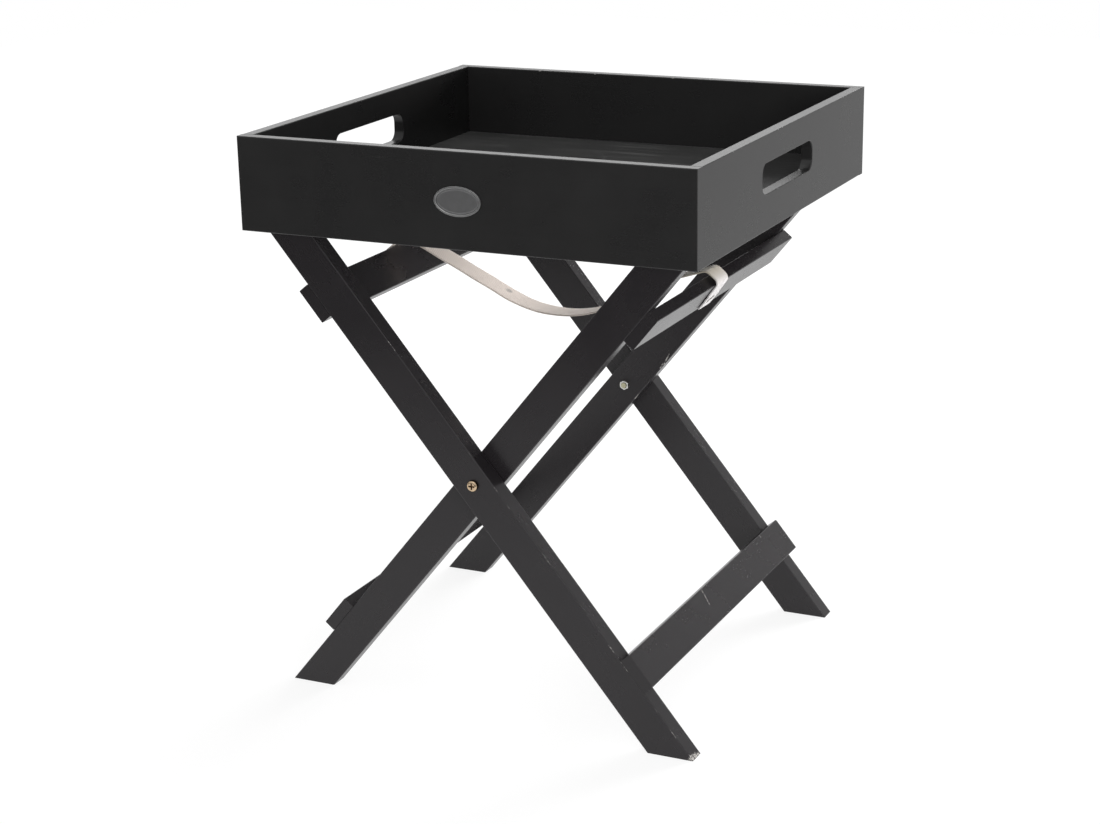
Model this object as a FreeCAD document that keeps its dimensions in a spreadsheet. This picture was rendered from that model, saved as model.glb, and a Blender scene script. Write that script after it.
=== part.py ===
import FreeCAD, Part
import math
import os
import Sketcher

# A square tray with hand slots, lying on a folding X stand of two hinged frames with a webbing strap.
# Millimetres, +Z up, the floor at zero height and the middle of the tray's outline above the origin.
# +X is to the right of someone who faces the badge, +Y runs from the badge to the back.

SIZES = {
    # Tray boards and the panel in their grooves
    "tray_width": 400.0,
    "tray_depth": 400.0,
    "board_height": 78.0,
    "board_thickness": 10.0,
    "edge_round": 0.8,
    "panel_thickness": 6.0,
    "panel_edge_thickness": 4.0,
    "panel_lip": 10.0,
    "panel_play": 0.2,
    "groove_depth": 5.0,
    "slot_length": 120.0,
    "slot_height": 25.0,
    "slot_rise": 42.5,
    "slot_corner_radius": 9.0,
    # Dowels in the tray's corners
    "corner_dowel_diameter": 5.0,
    "corner_dowel_length": 22.0,
    "corner_dowel_seat": 6.0,
    "corner_dowel_low_rise": 26.0,
    "corner_dowel_high_rise": 62.0,
    "dowel_clearance": 0.05,
    "dowel_end_play": 0.5,
    # Oval badge plate
    "badge_width": 41.0,
    "badge_height": 24.0,
    "badge_thickness": 1.4,
    "badge_rim_width": 1.5,
    "badge_recess_depth": 0.6,
    # Legs
    "leg_height": 426.0,
    "pivot_height": 212.5,
    "leg_width": 31.5,
    "leg_thickness": 17.0,
    "leg_tip_reach": 7.1,
    "tip_clearance": 0.8,
    "stand_depth": 350.0,
    "stand_shift": 7.0,
    # Rails and their dowels
    "rail_width": 32.5,
    "rail_thickness": 10.5,
    "top_rail_reach": 199.0,
    "bottom_rail_reach": 203.0,
    "rail_dowel_diameter": 6.0,
    "rail_dowel_length": 19.0,
    "rail_dowel_seat": 7.0,
    "rail_dowel_pitch": 16.0,
    # Pivot bolts, washers and nuts
    "bolt_diameter": 5.0,
    "bolt_clearance": 0.05,
    "bolt_head_diameter": 9.5,
    "bolt_head_height": 3.2,
    "bolt_head_round": 1.8,
    "bolt_tail": 0.8,
    "recess_length": 5.6,
    "recess_width": 1.4,
    "recess_depth": 1.8,
    "washer_diameter": 12.0,
    "washer_thickness": 1.0,
    "nut_flats": 8.0,
    "nut_thickness": 4.0,
    "nut_bevel": 0.5,
    # Strap
    "strap_width": 25.0,
    "strap_thickness": 1.2,
    "strap_gap": 0.3,
    "strap_lift": 1.25,
    "strap_offset": 13.7,
    "strap_end_margin": 1.5,
    "strap_left_rise": 13.1,
    "strap_left_bend": 20.0,
    "strap_right_rise": 2.7,
    "strap_right_bend": 8.0,
    # Shares of the strap's span: how it hangs between the two rails
    "strap_knee_reach_share": 0.174,
    "strap_knee_drop_share": 0.0555,
    "strap_knee_bend_share": 0.348,
    "strap_dip_place_share": 0.5355,
    "strap_dip_share": 0.2325,
    "strap_dip_bend_share": 0.4035,
    # Staples
    "staple_crown": 11.0,
    "staple_wire": 0.8,
    "staple_leg": 7.0,
    "staple_shift": 3.0,
    "staple_drop": 3.0,
    "staple_slip": 4.6,
    "staple_clearance": 0.1,
    # How far a cut runs past the face where it leaves the material
    "overrun": 2.0,
}

# Values that several pieces share, each worked out from the sizes above.
PLACES = {
    "inner_width": "sizes.tray_width - 2 * sizes.board_thickness",
    "inner_depth": "sizes.tray_depth - 2 * sizes.board_thickness",
    "side_board_x": "inner_width / 2 + sizes.board_thickness / 2",
    "tray_base": "sizes.leg_height - sizes.panel_lip",
    "groove_height": "sizes.panel_edge_thickness + sizes.panel_play",
    "panel_edge_reach": "sizes.groove_depth - sizes.panel_play",
    "corner_bore": "sizes.corner_dowel_diameter + 2 * sizes.dowel_clearance",
    # The legs' trimmed tips stand just inside the left board, and that sets how far the stand is spread.
    "tip_spread": "inner_width / 2 - sizes.stand_shift - sizes.tip_clearance",
    "leg_run": "tip_spread - sizes.leg_tip_reach",
    "leg_rise": "sizes.leg_height - sizes.pivot_height",
    "leg_slant": "sqrt(leg_rise * leg_rise + leg_run * leg_run)",
    "leg_sin": "leg_rise / leg_slant",
    "leg_cos": "leg_run / leg_slant",
    "leg_angle": "atan2(leg_rise; leg_run)",
    "half_leg": "sizes.leg_width / 2",
    "outer_leg_y": "sizes.stand_depth / 2 - sizes.leg_thickness / 2",
    "inner_leg_y": "outer_leg_y - sizes.leg_thickness - sizes.washer_thickness",
    "inner_rail_length": "sizes.stand_depth - 2 * sizes.leg_thickness - 2 * sizes.washer_thickness",
    "rail_face": "half_leg + sizes.rail_thickness",
    "rail_bore": "sizes.rail_dowel_diameter + 2 * sizes.dowel_clearance",
    "bolt_grip": "2 * sizes.leg_thickness + sizes.washer_thickness",
    "bolt_bore": "sizes.bolt_diameter + 2 * sizes.bolt_clearance",
    "nut_corner": "sizes.nut_flats / sqrt(3)",
    # The strap lies close on the rails' outer faces and goes over their upper edges more loosely.
    "strap_seat": "sizes.strap_gap + sizes.strap_thickness / 2",
    "strap_top_seat": "sizes.strap_lift + sizes.strap_thickness / 2",
    "strap_top": "sizes.top_rail_reach + sizes.rail_width / 2 + strap_top_seat",
    "strap_left_crest": "half_leg - sizes.strap_left_rise",
    "strap_right_crest": "half_leg - sizes.strap_right_rise",
    "strap_span": "2 * strap_top * leg_cos + (strap_left_crest + strap_right_crest) * leg_sin",
    # The staple's crown lies on the strap, and its legs go through the strap into the rail.
    "staple_top": "rail_face + sizes.strap_gap + sizes.strap_thickness + sizes.staple_wire",
    "staple_tip": "staple_top - sizes.staple_leg",
    "staple_bore": "sizes.staple_wire * sqrt(2) + 2 * sizes.staple_clearance",
    "staple_reach": "sizes.top_rail_reach - sizes.staple_drop",
    "staple_y": "-sizes.strap_offset - sizes.staple_shift",
    # The staples are set askew, with one leg higher on the rail than the other.
    "staple_leg_pitch": "sizes.staple_crown - sizes.staple_wire",
    "staple_tilt": "asin(sizes.staple_slip / staple_leg_pitch)",
    "staple_spread": "staple_leg_pitch * cos(staple_tilt)",
}

# The two frames of the stand: the outer one leans to the left, the inner one to the right. Along a frame's
# legs, places are measured up the leg from the pivot, and across it towards the side of the top rail.
# The turn brings local X up the leg, and side says whether local Z points to the top rail's side.
FRAMES = {
    "outer": {
        "turn": "places.leg_angle - 180",
        "side": 1,
        "lean": -1,
        "leg_y": "places.outer_leg_y",
        "rail_length": "sizes.stand_depth",
    },
    "inner": {
        "turn": "-places.leg_angle",
        "side": -1,
        "lean": 1,
        "leg_y": "places.inner_leg_y",
        "rail_length": "places.inner_rail_length",
    },
}

# Where the rails' middles are along the legs, and on which side of the legs they lie.
RAILS = {
    "top": {"middle": "sizes.top_rail_reach", "hand": 1},
    "bottom": {"middle": "-sizes.bottom_rail_reach", "hand": -1},
}

CORNER_DOWEL_RISES = ("sizes.corner_dowel_low_rise", "sizes.corner_dowel_high_rise")
BOTH = (-1, 1)

doc = FreeCAD.newDocument("tray_table")
subparts = []


def fill_sheet():
    """Writes the driving sizes to the sheet, and the shared values, bound to it, to a variable set."""
    sheet = doc.addObject("Spreadsheet::Sheet", "sizes")
    for row, (name, number) in enumerate(SIZES.items(), start=1):
        sheet.set("A%d" % row, name)
        sheet.set("B%d" % row, str(number))
        sheet.setAlias("B%d" % row, name)
    doc.recompute()
    shared = doc.addObject("App::VarSet", "places")
    for name in PLACES:
        shared.addProperty("App::PropertyFloat", name)
    for name, expression in PLACES.items():
        shared.setExpression(name, expression)
    doc.recompute()
    return shared


def value(expression):
    """The number that an expression of the sheet's names stands for."""
    return float(places.evalExpression(expression))


def times(sign, expression):
    """The expression, or its negative."""
    return expression if sign > 0 else "-(%s)" % expression


def beside(middle, sign, distance):
    """The expression for a place before or past a middle."""
    return "%s %s %s" % (middle, "+" if sign > 0 else "-", distance)


def keep(thing, label):
    """Names a finished sub-part and puts it on the list that is written out."""
    thing.Label = label
    subparts.append(thing)
    return thing


def placing(x="0", y="0", z="0", axis="0; 0; 1", turn="0"):
    """The expression for a place, and for a turn about an axis through that place."""
    return "placement(vector(%s; %s; %s); rotation(vector(%s); %s))" % (x, y, z, axis, turn)


def put(thing, *place, **turning):
    """Binds a thing's place, and its turn about an axis through that place."""
    thing.setExpression("Placement", placing(*place, **turning))


def on_frame(frame, y="0"):
    """The place of things that are drawn along the legs of one frame, from the pivot."""
    return placing("-sizes.stand_shift", y, "sizes.pivot_height", "0; 1; 0", FRAMES[frame]["turn"])


def put_on_frame(thing, frame, y="0"):
    """Places a thing that is drawn along the legs of one frame."""
    thing.setExpression("Placement", on_frame(frame, y))


def put_on_pivot(thing, sign):
    """Places a thing that is drawn from under the bolt's head, with the head towards +Z, at one end."""
    y = times(sign, "sizes.stand_depth / 2")
    put(thing, "-sizes.stand_shift", y, "sizes.pivot_height", "%d; 0; 0" % -sign, "90")


def new_body(label):
    """An empty body, kept under its label."""
    return keep(doc.addObject("PartDesign::Body", label + "_body"), label)


def new_sketch(body, name, role, offset="0"):
    """A sketch on one of the body's own origin planes, moved along that plane's normal."""
    plane = [each for each in body.Origin.OriginFeatures if each.Role == role][0]
    sketch = body.newObject("Sketcher::SketchObject", name)
    sketch.AttachmentSupport = (plane, [""])
    sketch.MapMode = "FlatFace"
    sketch.setExpression("AttachmentOffset.Base.z", offset)
    return sketch


def bind(sketch, kind, references, expression):
    """Adds a dimension to the sketch and ties it to an expression."""
    index = sketch.addConstraint(Sketcher.Constraint(kind, *references, value(expression)))
    sketch.setExpression("Constraints[%d]" % index, expression)


def outline(sketch, points):
    """A closed outline of straight lines through points given as pairs of expressions."""
    first = sketch.GeometryCount
    corners = [FreeCAD.Vector(value(x), value(y), 0) for x, y in points]
    count = len(points)
    for index in range(count):
        sketch.addGeometry(Part.LineSegment(corners[index], corners[(index + 1) % count]))
    for index in range(count):
        ends = (first + index, 2, first + (index + 1) % count, 1)
        sketch.addConstraint(Sketcher.Constraint("Coincident", *ends))
    for index, (x, y) in enumerate(points):
        bind(sketch, "DistanceX", (-1, 1, first + index, 1), x)
        bind(sketch, "DistanceY", (-1, 1, first + index, 1), y)


def rectangle(sketch, left, right, low, high):
    """A rectangle between four expressions."""
    outline(sketch, [(left, low), (right, low), (right, high), (left, high)])


def circle(sketch, x, y, diameter):
    """A circle whose centre and diameter are expressions."""
    centre = FreeCAD.Vector(value(x), value(y), 0)
    index = sketch.addGeometry(Part.Circle(centre, FreeCAD.Vector(0, 0, 1), value(diameter) / 2))
    bind(sketch, "DistanceX", (-1, 1, index, 3), x)
    bind(sketch, "DistanceY", (-1, 1, index, 3), y)
    bind(sketch, "Diameter", (index,), diameter)


def pad(body, sketch, length, both_sides=False, backwards=False):
    """Pads a sketch by a length, along the sketch's normal, against it, or half to each side."""
    feature = body.newObject("PartDesign::Pad", sketch.Name + "_pad")
    feature.Profile = sketch
    feature.SideType = "Symmetric" if both_sides else "One side"
    feature.Reversed = backwards
    feature.setExpression("Length", length)
    doc.recompute()


def check_cut(body, feature, before):
    """Stops the build if a cut took nothing off."""
    doc.recompute()
    if body.Shape.Volume >= before:
        raise RuntimeError("%s cuts nothing" % feature.Name)


def pocket(body, sketch, depth, along_normal=False):
    """Cuts a sketch out of the body to a depth, against the sketch's normal or along it."""
    before = body.Shape.Volume
    feature = body.newObject("PartDesign::Pocket", sketch.Name + "_cut")
    feature.Profile = sketch
    feature.Reversed = along_normal
    feature.setExpression("Length", depth)
    check_cut(body, feature, before)


def pocket_through(body, sketch):
    """Cuts a sketch right through the body, to both sides."""
    before = body.Shape.Volume
    feature = body.newObject("PartDesign::Pocket", sketch.Name + "_cut")
    feature.Profile = sketch
    feature.SideType = "Symmetric"
    feature.Type = "ThroughAll"
    check_cut(body, feature, before)


def fillet(body, name, wanted, radius):
    """Rounds the edges of the body's last feature for which wanted(edge) is true."""
    tip = body.Tip
    edges = ["Edge%d" % number for number, edge in enumerate(tip.Shape.Edges, start=1) if wanted(edge)]
    feature = body.newObject("PartDesign::Fillet", name)
    feature.Base = (tip, edges)
    feature.setExpression("Radius", radius)
    doc.recompute()


def same(first, second):
    """True if two lengths are equal within the modeller's precision."""
    return math.isclose(first, second, abs_tol=Part.Precision.approximation())


def runs_along(edge, axis):
    """True for a straight edge along local x, y or z."""
    straight = isinstance(edge.Curve, Part.Line)
    return straight and same(abs(getattr(edge.Curve.Direction, axis)), 1)


def make_board(label, length, covers_corner):
    """A tray board with its groove, drawn along local X: outer face at Y 0, lower edge at Z 0.
    A front or back board covers the tray's corners, and a side board ends between them."""
    body = new_body(label)
    face = new_sketch(body, label + "_face", "XZ_Plane")
    rectangle(face, "-%s / 2" % length, "%s / 2" % length, "0", "sizes.board_height")
    pad(body, face, "sizes.board_thickness", backwards=True)

    def shows(edge):
        upright = runs_along(edge, "z") and same(edge.CenterOfMass.y, 0)
        return runs_along(edge, "x") or covers_corner and upright

    fillet(body, label + "_edges", shows, "sizes.edge_round")
    groove_half = "places.inner_width / 2 + sizes.groove_depth" if covers_corner else length + " / 2"
    groove = new_sketch(body, label + "_groove", "XZ_Plane", "-sizes.board_thickness")
    groove_top = "sizes.panel_lip + places.groove_height"
    rectangle(groove, times(-1, groove_half), groove_half, "sizes.panel_lip", groove_top)
    pocket(body, groove, "sizes.groove_depth", along_normal=True)
    return body


def cut_hand_slot(body):
    """The long rounded hole that a hand goes through, its rims rounded like the board's edges."""
    label = body.Label
    slot = new_sketch(body, label + "_slot", "XZ_Plane")
    half = "sizes.slot_length / 2"
    low = "sizes.slot_rise - sizes.slot_height / 2"
    high = "sizes.slot_rise + sizes.slot_height / 2"
    rectangle(slot, "-" + half, half, low, high)
    pocket_through(body, slot)
    span = value(half) + value("sizes.edge_round")

    def is_corner(edge):
        return runs_along(edge, "y") and abs(edge.CenterOfMass.x) < span

    def is_rim(edge):
        middle = edge.CenterOfMass
        on_face = same(middle.y, 0) or same(middle.y, value("sizes.board_thickness"))
        reach = value("sizes.edge_round")
        beside_slot = value(low) - reach < middle.z < value(high) + reach
        return on_face and beside_slot and abs(middle.x) < span

    fillet(body, label + "_slot_corners", is_corner, "sizes.slot_corner_radius")
    fillet(body, label + "_slot_rims", is_rim, "sizes.edge_round")


def drill_face_for_dowels(body):
    """Blind holes in the inner face of a front or back board, in line with the side boards' middles."""
    holes = new_sketch(body, body.Label + "_holes", "XZ_Plane", "-sizes.board_thickness")
    for sign in BOTH:
        for rise in CORNER_DOWEL_RISES:
            circle(holes, times(sign, "places.side_board_x"), rise, "places.corner_bore")
    pocket(body, holes, "sizes.corner_dowel_seat + sizes.dowel_end_play", along_normal=True)


def drill_ends_for_dowels(body, length):
    """Blind holes in both ends of a side board."""
    depth = "sizes.corner_dowel_length - sizes.corner_dowel_seat + sizes.dowel_end_play"
    for sign, end in zip(BOTH, ("start", "finish")):
        name = "%s_%s_holes" % (body.Label, end)
        holes = new_sketch(body, name, "YZ_Plane", times(sign, length + " / 2"))
        for rise in CORNER_DOWEL_RISES:
            circle(holes, "sizes.board_thickness / 2", rise, "places.corner_bore")
        pocket(body, holes, depth, along_normal=sign < 0)


def make_tray_boards():
    """Front and back boards run the whole width. The side boards, with the slots, stand between them."""
    for end, sign, turn in (("front", -1, "0"), ("back", 1, "180")):
        body = make_board("tray_%s_board" % end, "sizes.tray_width", True)
        drill_face_for_dowels(body)
        put(body, "0", times(sign, "sizes.tray_depth / 2"), "places.tray_base", turn=turn)
    for end, sign, turn in (("left", -1, "-90"), ("right", 1, "90")):
        body = make_board("tray_%s_board" % end, "places.inner_depth", False)
        cut_hand_slot(body)
        drill_ends_for_dowels(body, "places.inner_depth")
        put(body, times(sign, "sizes.tray_width / 2"), "0", "places.tray_base", turn=turn)


def make_bottom_panel():
    """The panel: its thinner edge lies in the boards' grooves, and its field fills the space between them."""
    body = new_body("tray_bottom_panel")
    edge = new_sketch(body, "panel_edge", "XY_Plane")
    reach_x = "places.inner_width / 2 + places.panel_edge_reach"
    reach_y = "places.inner_depth / 2 + places.panel_edge_reach"
    rectangle(edge, times(-1, reach_x), reach_x, times(-1, reach_y), reach_y)
    pad(body, edge, "sizes.panel_edge_thickness")
    field = new_sketch(body, "panel_field", "XY_Plane", "sizes.panel_edge_thickness")
    field_x = "places.inner_width / 2 - sizes.panel_play"
    field_y = "places.inner_depth / 2 - sizes.panel_play"
    rectangle(field, times(-1, field_x), field_x, times(-1, field_y), field_y)
    pad(body, field, "sizes.panel_thickness - sizes.panel_edge_thickness")
    put(body, z="sizes.leg_height")


def make_pin(name, diameter, length):
    """A round pin that stands on its own origin."""
    pin = doc.addObject("Part::Cylinder", name)
    pin.setExpression("Radius", diameter + " / 2")
    pin.setExpression("Height", length)
    return pin


def group(things, label):
    """Several equal solids as one sub-part."""
    bundle = doc.addObject("Part::Compound", label + "_group")
    bundle.Links = things
    return keep(bundle, label)


def make_corner_dowels():
    """Two dowels in each corner, from the front or back board into the side board's end."""
    pins = []
    start = "places.inner_depth / 2 + sizes.corner_dowel_seat"
    for side in BOTH:
        for end in BOTH:
            for rise in CORNER_DOWEL_RISES:
                pin = make_pin("corner_dowel", "sizes.corner_dowel_diameter", "sizes.corner_dowel_length")
                x = times(side, "places.side_board_x")
                z = "places.tray_base + " + rise
                put(pin, x, times(end, start), z, "%d; 0; 0" % end, "90")
                pins.append(pin)
    group(pins, "tray_corner_dowels")


def make_oval(name, inset, depth):
    """An oval plate, smaller than the badge by an inset all round."""
    line = doc.addObject("Part::Ellipse", name + "_line")
    line.setExpression("MajorRadius", "sizes.badge_width / 2 - " + inset)
    line.setExpression("MinorRadius", "sizes.badge_height / 2 - " + inset)
    plate = doc.addObject("Part::Extrusion", name)
    plate.Base = line
    plate.DirMode = "Custom"
    plate.Dir = FreeCAD.Vector(0, 0, 1)
    plate.Solid = True
    plate.setExpression("LengthFwd", depth)
    return plate


def make_badge():
    """A blank oval plate with a raised rim, on the middle of the front board."""
    blank = make_oval("badge_blank", "0", "sizes.badge_thickness")
    sunk = make_oval("badge_field", "sizes.badge_rim_width", "sizes.badge_recess_depth + sizes.overrun")
    put(sunk, z="sizes.badge_thickness - sizes.badge_recess_depth")
    badge = doc.addObject("Part::Cut", "badge")
    badge.Base = blank
    badge.Tool = sunk
    height = "places.tray_base + sizes.board_height / 2"
    put(badge, "0", "-sizes.tray_depth / 2", height, "1; 0; 0", "90")
    keep(badge, "badge_plate")


def make_leg(frame, end, sign):
    """A leg with level cuts at the floor and under the tray, its outer tip trimmed upright inside the rim."""
    side = FRAMES[frame]["side"]
    label = "%s_%s_leg" % (frame, end)
    body = new_body(label)
    face = new_sketch(body, label + "_face", "XZ_Plane")
    low_edge = times(side, "places.half_leg")
    high_edge = times(-side, "places.half_leg")
    low_foot = "(places.half_leg * places.leg_cos - sizes.pivot_height) / places.leg_sin"
    high_foot = "(-places.half_leg * places.leg_cos - sizes.pivot_height) / places.leg_sin"
    trim = "(places.tip_spread - places.half_leg * places.leg_sin) / places.leg_cos"
    tip_along = "places.tip_spread * places.leg_cos + places.leg_rise * places.leg_sin"
    tip_across = "places.tip_spread * places.leg_sin - places.leg_rise * places.leg_cos"
    high_top = "(places.leg_rise - places.half_leg * places.leg_cos) / places.leg_sin"
    outline(face, [
        (low_foot, low_edge),
        (trim, low_edge),
        (tip_along, times(side, tip_across)),
        (high_top, high_edge),
        (high_foot, high_edge),
    ])
    pad(body, face, "sizes.leg_thickness", both_sides=True)
    fillet(body, label + "_edges", lambda edge: runs_along(edge, "x"), "sizes.edge_round")
    pivot = new_sketch(body, label + "_pivot", "XZ_Plane")
    circle(pivot, "0", "0", "places.bolt_bore")
    pocket_through(body, pivot)
    depth = "sizes.rail_dowel_length - sizes.rail_dowel_seat + sizes.dowel_end_play"
    for rail, place in RAILS.items():
        hand = side * place["hand"]
        name = "%s_%s_holes" % (label, rail)
        holes = new_sketch(body, name, "XY_Plane", times(hand, "places.half_leg"))
        for step in BOTH:
            along = beside(place["middle"], step, "sizes.rail_dowel_pitch / 2")
            circle(holes, along, "0", "places.rail_bore")
        pocket(body, holes, depth, along_normal=hand < 0)
    put_on_frame(body, frame, times(sign, FRAMES[frame]["leg_y"]))


def staple_leg_places():
    """Where a staple's two legs are on a top rail: expressions along the frame's legs and along the rail."""
    for sign in BOTH:
        along = beside("places.staple_reach", sign, "sizes.staple_slip / 2")
        yield along, beside("places.staple_y", sign, "places.staple_spread / 2")


def make_rail(frame, rail):
    """A rail across the edges of one frame's two legs, with blind holes for dowels and for a staple."""
    middle = RAILS[rail]["middle"]
    hand = FRAMES[frame]["side"] * RAILS[rail]["hand"]
    label = "%s_%s_rail" % (frame, rail)
    body = new_body(label)
    section = new_sketch(body, label + "_section", "XZ_Plane")
    half_width = "sizes.rail_width / 2"
    start = beside(middle, -1, half_width)
    finish = beside(middle, 1, half_width)
    rectangle(section, start, finish, times(hand, "places.half_leg"), times(hand, "places.rail_face"))
    pad(body, section, FRAMES[frame]["rail_length"], both_sides=True)
    fillet(body, label + "_edges", lambda edge: runs_along(edge, "y"), "sizes.edge_round")
    holes = new_sketch(body, label + "_holes", "XY_Plane", times(hand, "places.half_leg"))
    for sign in BOTH:
        for step in BOTH:
            along = beside(middle, step, "sizes.rail_dowel_pitch / 2")
            circle(holes, along, times(sign, FRAMES[frame]["leg_y"]), "places.rail_bore")
    pocket(body, holes, "sizes.rail_dowel_seat + sizes.dowel_end_play", along_normal=hand > 0)
    if rail == "top":
        pricks = new_sketch(body, label + "_pricks", "XY_Plane", times(hand, "places.rail_face"))
        for along, y in staple_leg_places():
            circle(pricks, along, y, "places.staple_bore")
        depth = "places.rail_face - places.staple_tip + sizes.staple_clearance"
        pocket(body, pricks, depth, along_normal=hand < 0)
    put_on_frame(body, frame)


def make_rail_dowels(frame):
    """Two dowels in each joint of one frame, from the rail into the leg's edge."""
    pins = []
    for place in RAILS.values():
        hand = FRAMES[frame]["side"] * place["hand"]
        in_rail = times(hand, "places.half_leg + sizes.rail_dowel_seat")
        low_end = in_rail if hand < 0 else in_rail + " - sizes.rail_dowel_length"
        for sign in BOTH:
            for step in BOTH:
                pin = make_pin("rail_dowel", "sizes.rail_dowel_diameter", "sizes.rail_dowel_length")
                along = beside(place["middle"], step, "sizes.rail_dowel_pitch / 2")
                put(pin, along, times(sign, FRAMES[frame]["leg_y"]), low_end)
                pins.append(pin)
    put_on_frame(group(pins, frame + "_rail_dowels"), frame)


def revolve(body, kind, sketch):
    """A full turn of a sketch about its upright axis: a Revolution, or a Groove, which cuts."""
    feature = body.newObject("PartDesign::" + kind, sketch.Name + "_turn")
    feature.Profile = sketch
    feature.ReferenceAxis = (sketch, ["V_Axis"])
    feature.Angle = 360
    doc.recompute()
    return feature


def make_bolt(end, sign):
    """A pan-head bolt with a cross recess, long enough for both legs, the washer and the nut."""
    label = end + "_pivot_bolt"
    body = new_body(label)
    profile = new_sketch(body, label + "_profile", "XZ_Plane")
    shank = "sizes.bolt_diameter / 2"
    head = "sizes.bolt_head_diameter / 2"
    foot = "-places.bolt_grip - sizes.nut_thickness - sizes.bolt_tail"
    top = "sizes.bolt_head_height"
    outline(profile, [("0", foot), (shank, foot), (shank, "0"), (head, "0"), (head, top), ("0", top)])
    revolve(body, "Revolution", profile)

    def crown(edge):
        return isinstance(edge.Curve, Part.Circle) and same(edge.CenterOfMass.z, value(top))

    fillet(body, label + "_crown", crown, "sizes.bolt_head_round")
    cross = new_sketch(body, label + "_recess", "XY_Plane", top)
    arm = "sizes.recess_length / 2"
    half = "sizes.recess_width / 2"
    corners = []
    for x_sign, y_sign in ((1, 1), (-1, 1), (-1, -1), (1, -1)):
        quarter = [(arm, half), (half, half), (half, arm)]
        if x_sign * y_sign < 0:
            quarter.reverse()
        corners += [(times(x_sign, x), times(y_sign, y)) for x, y in quarter]
    outline(cross, corners)
    pocket(body, cross, "sizes.recess_depth")
    put_on_pivot(body, sign)


def make_washer(end, sign):
    """The spacer between an outer and an inner leg."""
    label = end + "_pivot_washer"
    body = new_body(label)
    ring = new_sketch(body, label + "_ring", "XY_Plane", "-sizes.leg_thickness")
    circle(ring, "0", "0", "sizes.washer_diameter")
    circle(ring, "0", "0", "places.bolt_bore")
    pad(body, ring, "sizes.washer_thickness", backwards=True)
    put_on_pivot(body, sign)


def make_nut(end, sign):
    """A hex nut against the inner leg, with corners up and down, its outer corners bevelled."""
    label = end + "_pivot_nut"
    body = new_body(label)
    seat = "-places.bolt_grip"
    outer = "-places.bolt_grip - sizes.nut_thickness"
    hexagon = new_sketch(body, label + "_hexagon", "XY_Plane", seat)
    flat = "sizes.nut_flats / 2"
    corner = "places.nut_corner"
    slope = "places.nut_corner / 2"
    outline(hexagon, [
        ("0", corner),
        ("-" + flat, slope),
        ("-" + flat, "-" + slope),
        ("0", "-" + corner),
        (flat, "-" + slope),
        (flat, slope),
    ])
    circle(hexagon, "0", "0", "places.bolt_bore")
    pad(body, hexagon, "sizes.nut_thickness", backwards=True)
    bevel = new_sketch(body, label + "_bevel", "XZ_Plane")
    past = corner + " + sizes.overrun"
    below = outer + " - sizes.overrun"
    shoulder = outer + " + sizes.nut_bevel"
    outline(bevel, [(flat, below), (flat, outer), (corner, shoulder), (past, shoulder), (past, below)])
    before = body.Shape.Volume
    check_cut(body, revolve(body, "Groove", bevel), before)
    put_on_pivot(body, sign)


def make_staple(frame):
    """The staple that holds the strap's end to the top rail's outer face, bent from one wire."""
    hand = FRAMES[frame]["side"]
    label = frame + "_strap_staple"
    body = new_body(label)
    face = new_sketch(body, label + "_face", "YZ_Plane")
    outer = "sizes.staple_crown / 2"
    inner = "sizes.staple_crown / 2 - sizes.staple_wire"
    crown = "places.staple_top - sizes.staple_wire"
    tip = "places.staple_tip"
    bend = [(outer, "places.staple_top"), (outer, tip), (inner, tip), (inner, crown)]
    right = [(y, times(hand, z)) for y, z in bend]
    left = [(times(-1, y), times(hand, z)) for y, z in reversed(bend)]
    outline(face, right + left)
    pad(body, face, "sizes.staple_wire", both_sides=True)
    on_rail = placing("places.staple_reach", "places.staple_y", turn="-places.staple_tilt")
    body.setExpression("Placement", "%s * %s" % (on_frame(frame), on_rail))


def frame_point(frame, along, across):
    """A point of the upright plane through the strap, measured along and across one frame's legs."""
    outward = along * value("places.leg_cos") + across * value("places.leg_sin")
    upward = along * value("places.leg_sin") - across * value("places.leg_cos")
    x = FRAMES[frame]["lean"] * outward - value("sizes.stand_shift")
    return FreeCAD.Vector(x, -value("sizes.strap_offset"), value("sizes.pivot_height") + upward)


def of_span(name):
    """A length that is a share of the strap's span."""
    return value("sizes.strap_%s_share * places.strap_span" % name)


def strap_route():
    """Corners of the strap's middle line from the left end to the right one, and the bend at each."""
    top = value("places.strap_top")
    end = value("sizes.top_rail_reach - sizes.rail_width / 2 + sizes.strap_end_margin")
    face = value("places.rail_face + places.strap_seat")
    left_crest = frame_point("outer", top, value("places.strap_left_crest"))
    right_crest = frame_point("inner", top, value("places.strap_right_crest"))
    knee = FreeCAD.Vector(right_crest)
    knee.x -= of_span("knee_reach")
    knee.z -= of_span("knee_drop")
    dip = FreeCAD.Vector(right_crest)
    dip.x = left_crest.x + of_span("dip_place")
    dip.z -= of_span("dip")
    wrap = value("sizes.edge_round + places.strap_top_seat")
    left_bend = value("sizes.strap_left_bend")
    right_bend = value("sizes.strap_right_bend")
    corners = [
        frame_point("outer", end, face),
        frame_point("outer", top, face),
        left_crest,
        dip,
        knee,
        right_crest,
        frame_point("inner", top, face),
        frame_point("inner", end, face),
    ]
    return corners, [wrap, left_bend, of_span("dip_bend"), of_span("knee_bend"), right_bend, wrap]


def left_of(direction):
    """The normal to the left of a direction in the upright plane."""
    return FreeCAD.Vector(-direction.z, 0, direction.x)


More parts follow.
